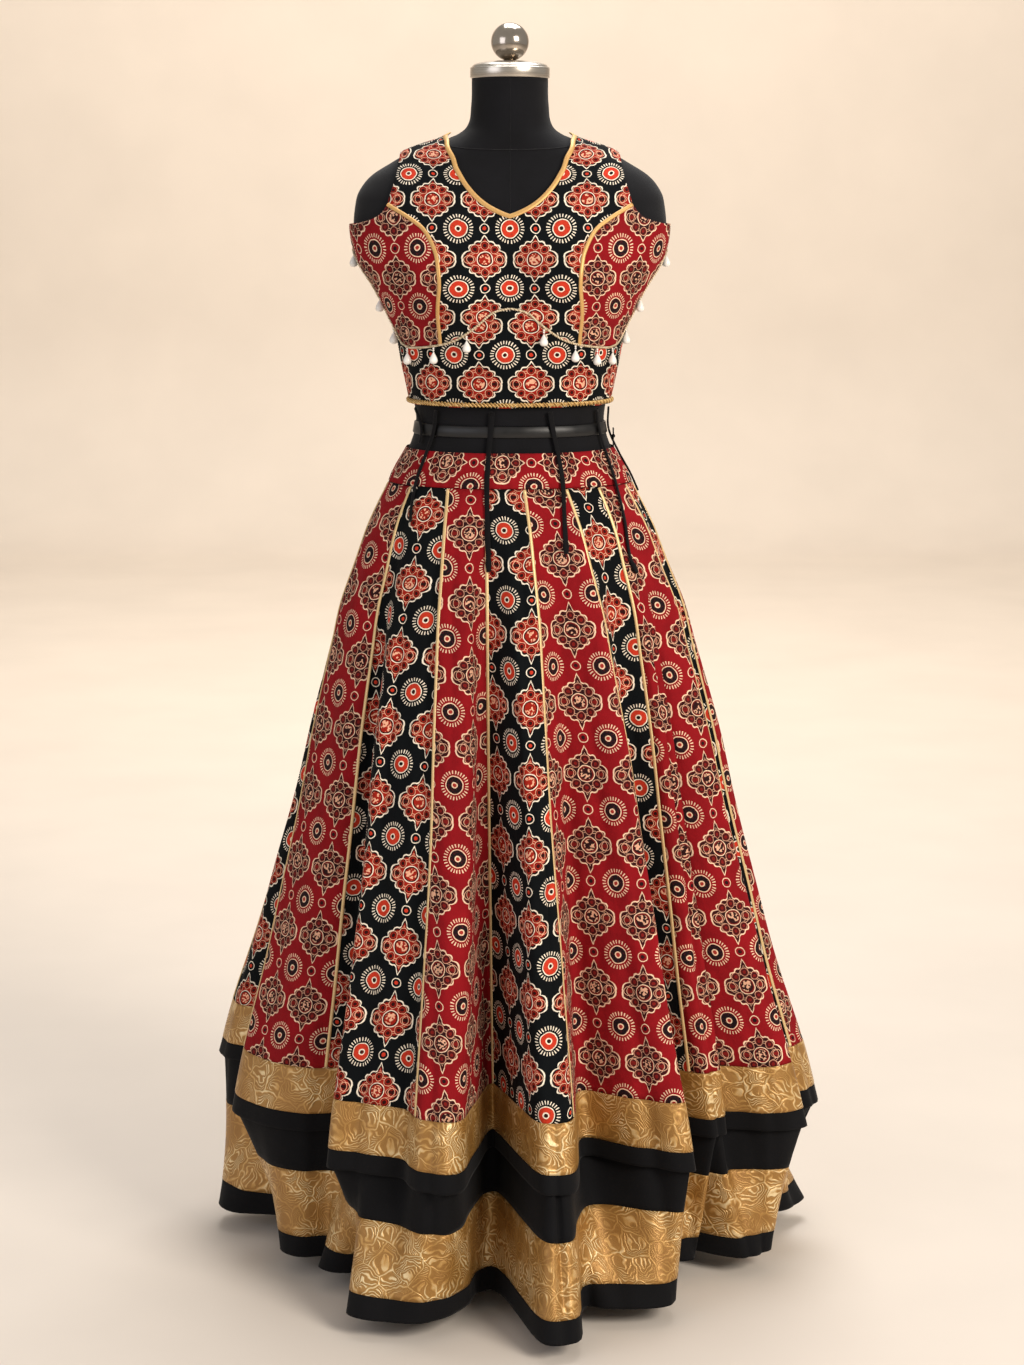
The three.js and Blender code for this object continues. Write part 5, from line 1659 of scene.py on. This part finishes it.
@dataclass(frozen=True)
class Lamp:
    """One square soft light and the point that it faces, in metres and watts."""

    name: str
    place: tuple[float, float, float]
    aim: tuple[float, float, float]
    size: float
    power: float
    colour: str

    def build(self) -> None:
        """Adds the light to the scene."""
        data = bpy.data.lights.new(self.name, "AREA")
        data.shape, data.size, data.energy = "SQUARE", self.size, self.power
        data.color = linear(self.colour)[:3]
        holder = bpy.data.objects.new(self.name, data)
        holder.location = self.place
        holder.rotation_euler = (Vector(self.aim) - Vector(self.place)).to_track_quat("-Z", "Y").to_euler()
        bpy.context.scene.collection.objects.link(holder)


LAMPS = (
    Lamp("key", (2.5, -2.9, 2.6), (0, 0, 0.8), 1.5, 150, "#fff6ea"),
    Lamp("fill", (-3.0, -2.8, 1.9), (0, 0, 0.8), 2.4, 34, "#f3f4ff"),
    Lamp("top", (0.2, 0.9, 3.3), (0, 0, 1.0), 1.6, 60, "#ffffff"),
    Lamp("wall", (0, 3.4, 4.2), (0, 6.9, 0.6), 2.6, 215, "#fff3e4"),
)


@dataclass
class Studio:
    """The plain floor, the soft lights and the camera at the photograph's angle."""

    camera_height: float = 1.37
    camera_distance: float = 3.5
    pitch: float = 10.35
    lens: float = 74.8
    floor_front: float = -8.0
    floor_back: float = 6.4
    floor_reach: float = 9.0
    bend: float = 0.8
    wall_height: float = 4.5

    def floor(self) -> None:
        """A pale floor that curves up into a pale wall, far enough off for the back to be seen too."""
        t = np.linspace(0, 1, 60)
        turn = np.clip((t - 0.5) / 0.2, 0, 1) * np.pi / 2
        depth = self.floor_back - self.floor_front
        y = np.where(t < 0.5, self.floor_front + depth * (t / 0.5),
                     self.floor_back + self.bend * np.sin(turn))
        rise = self.bend + (t - 0.7) / 0.3 * self.wall_height
        z = np.where(t < 0.5, 0, np.where(t < 0.7, self.bend * (1 - np.cos(turn)), rise))
        x = np.array([-self.floor_reach, self.floor_reach])
        points = np.stack([np.broadcast_to(x[None], (60, 2)), np.broadcast_to(y[:, None], (60, 2)),
                           np.broadcast_to(z[:, None], (60, 2))], -1)[::-1]
        look = Look("pale_studio_floor")
        place = look.add("TexCoord", out="Object")
        mottle = look.add("TexNoise", place, None, 3.0, 3.0)
        shade = look.add("MapRange", mottle, 0.3, 0.7, 0.97, 1.02)
        colour = look.add("VectorMath.SCALE", linear("#d9d0c6")[:3], named={"Scale": shade})
        material = look.finish(colour, 0.8, None, Specular_IOR_Level=0.2)
        mesh = bpy.data.meshes.new("studio_floor")
        faces, _ = grid_quads(60, 2, False)
        mesh.from_pydata(points.reshape(-1, 3).tolist(), [], faces.tolist())
        mesh.polygons.foreach_set("use_smooth", np.full(len(mesh.polygons), True))
        mesh.materials.append(material)
        floor = bpy.data.objects.new("studio_floor", mesh)
        bpy.context.scene.collection.objects.link(floor)

    def camera(self) -> None:
        """The camera, level from side to side and tipped down by the pitch."""
        data = bpy.data.cameras.new("camera")
        data.lens, data.sensor_width, data.sensor_fit = self.lens, 36.0, "AUTO"
        holder = bpy.data.objects.new("camera", data)
        holder.location = (0.0025, -self.camera_distance, self.camera_height)
        holder.rotation_euler = (math.radians(90 - self.pitch), 0, 0)
        bpy.context.scene.collection.objects.link(holder)
        bpy.context.scene.camera = holder

    def build(self) -> None:
        """Builds floor, lights, world and camera."""
        self.floor()
        for lamp in LAMPS:
            lamp.build()
        world = bpy.data.worlds.new("studio")
        world.use_nodes = True
        sky = world.node_tree.nodes["Background"]
        sky.inputs[0].default_value = linear("#efe9e1")
        sky.inputs[1].default_value = 0.5
        bpy.context.scene.world = world
        bpy.context.scene.view_settings.view_transform = "Standard"
        self.camera()


def main() -> None:
    """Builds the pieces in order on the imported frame."""
    logging.basicConfig(level=logging.INFO, format="%(message)s")
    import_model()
    looks = Looks.build()
    DressForm(looks).build()
    Choli(looks).build()
    Trims(looks).build()
    Lehenga(looks).build()
    for tie in TIES:
        tie.build(looks)
    Studio().build()


if __name__ == "__main__":
    main()
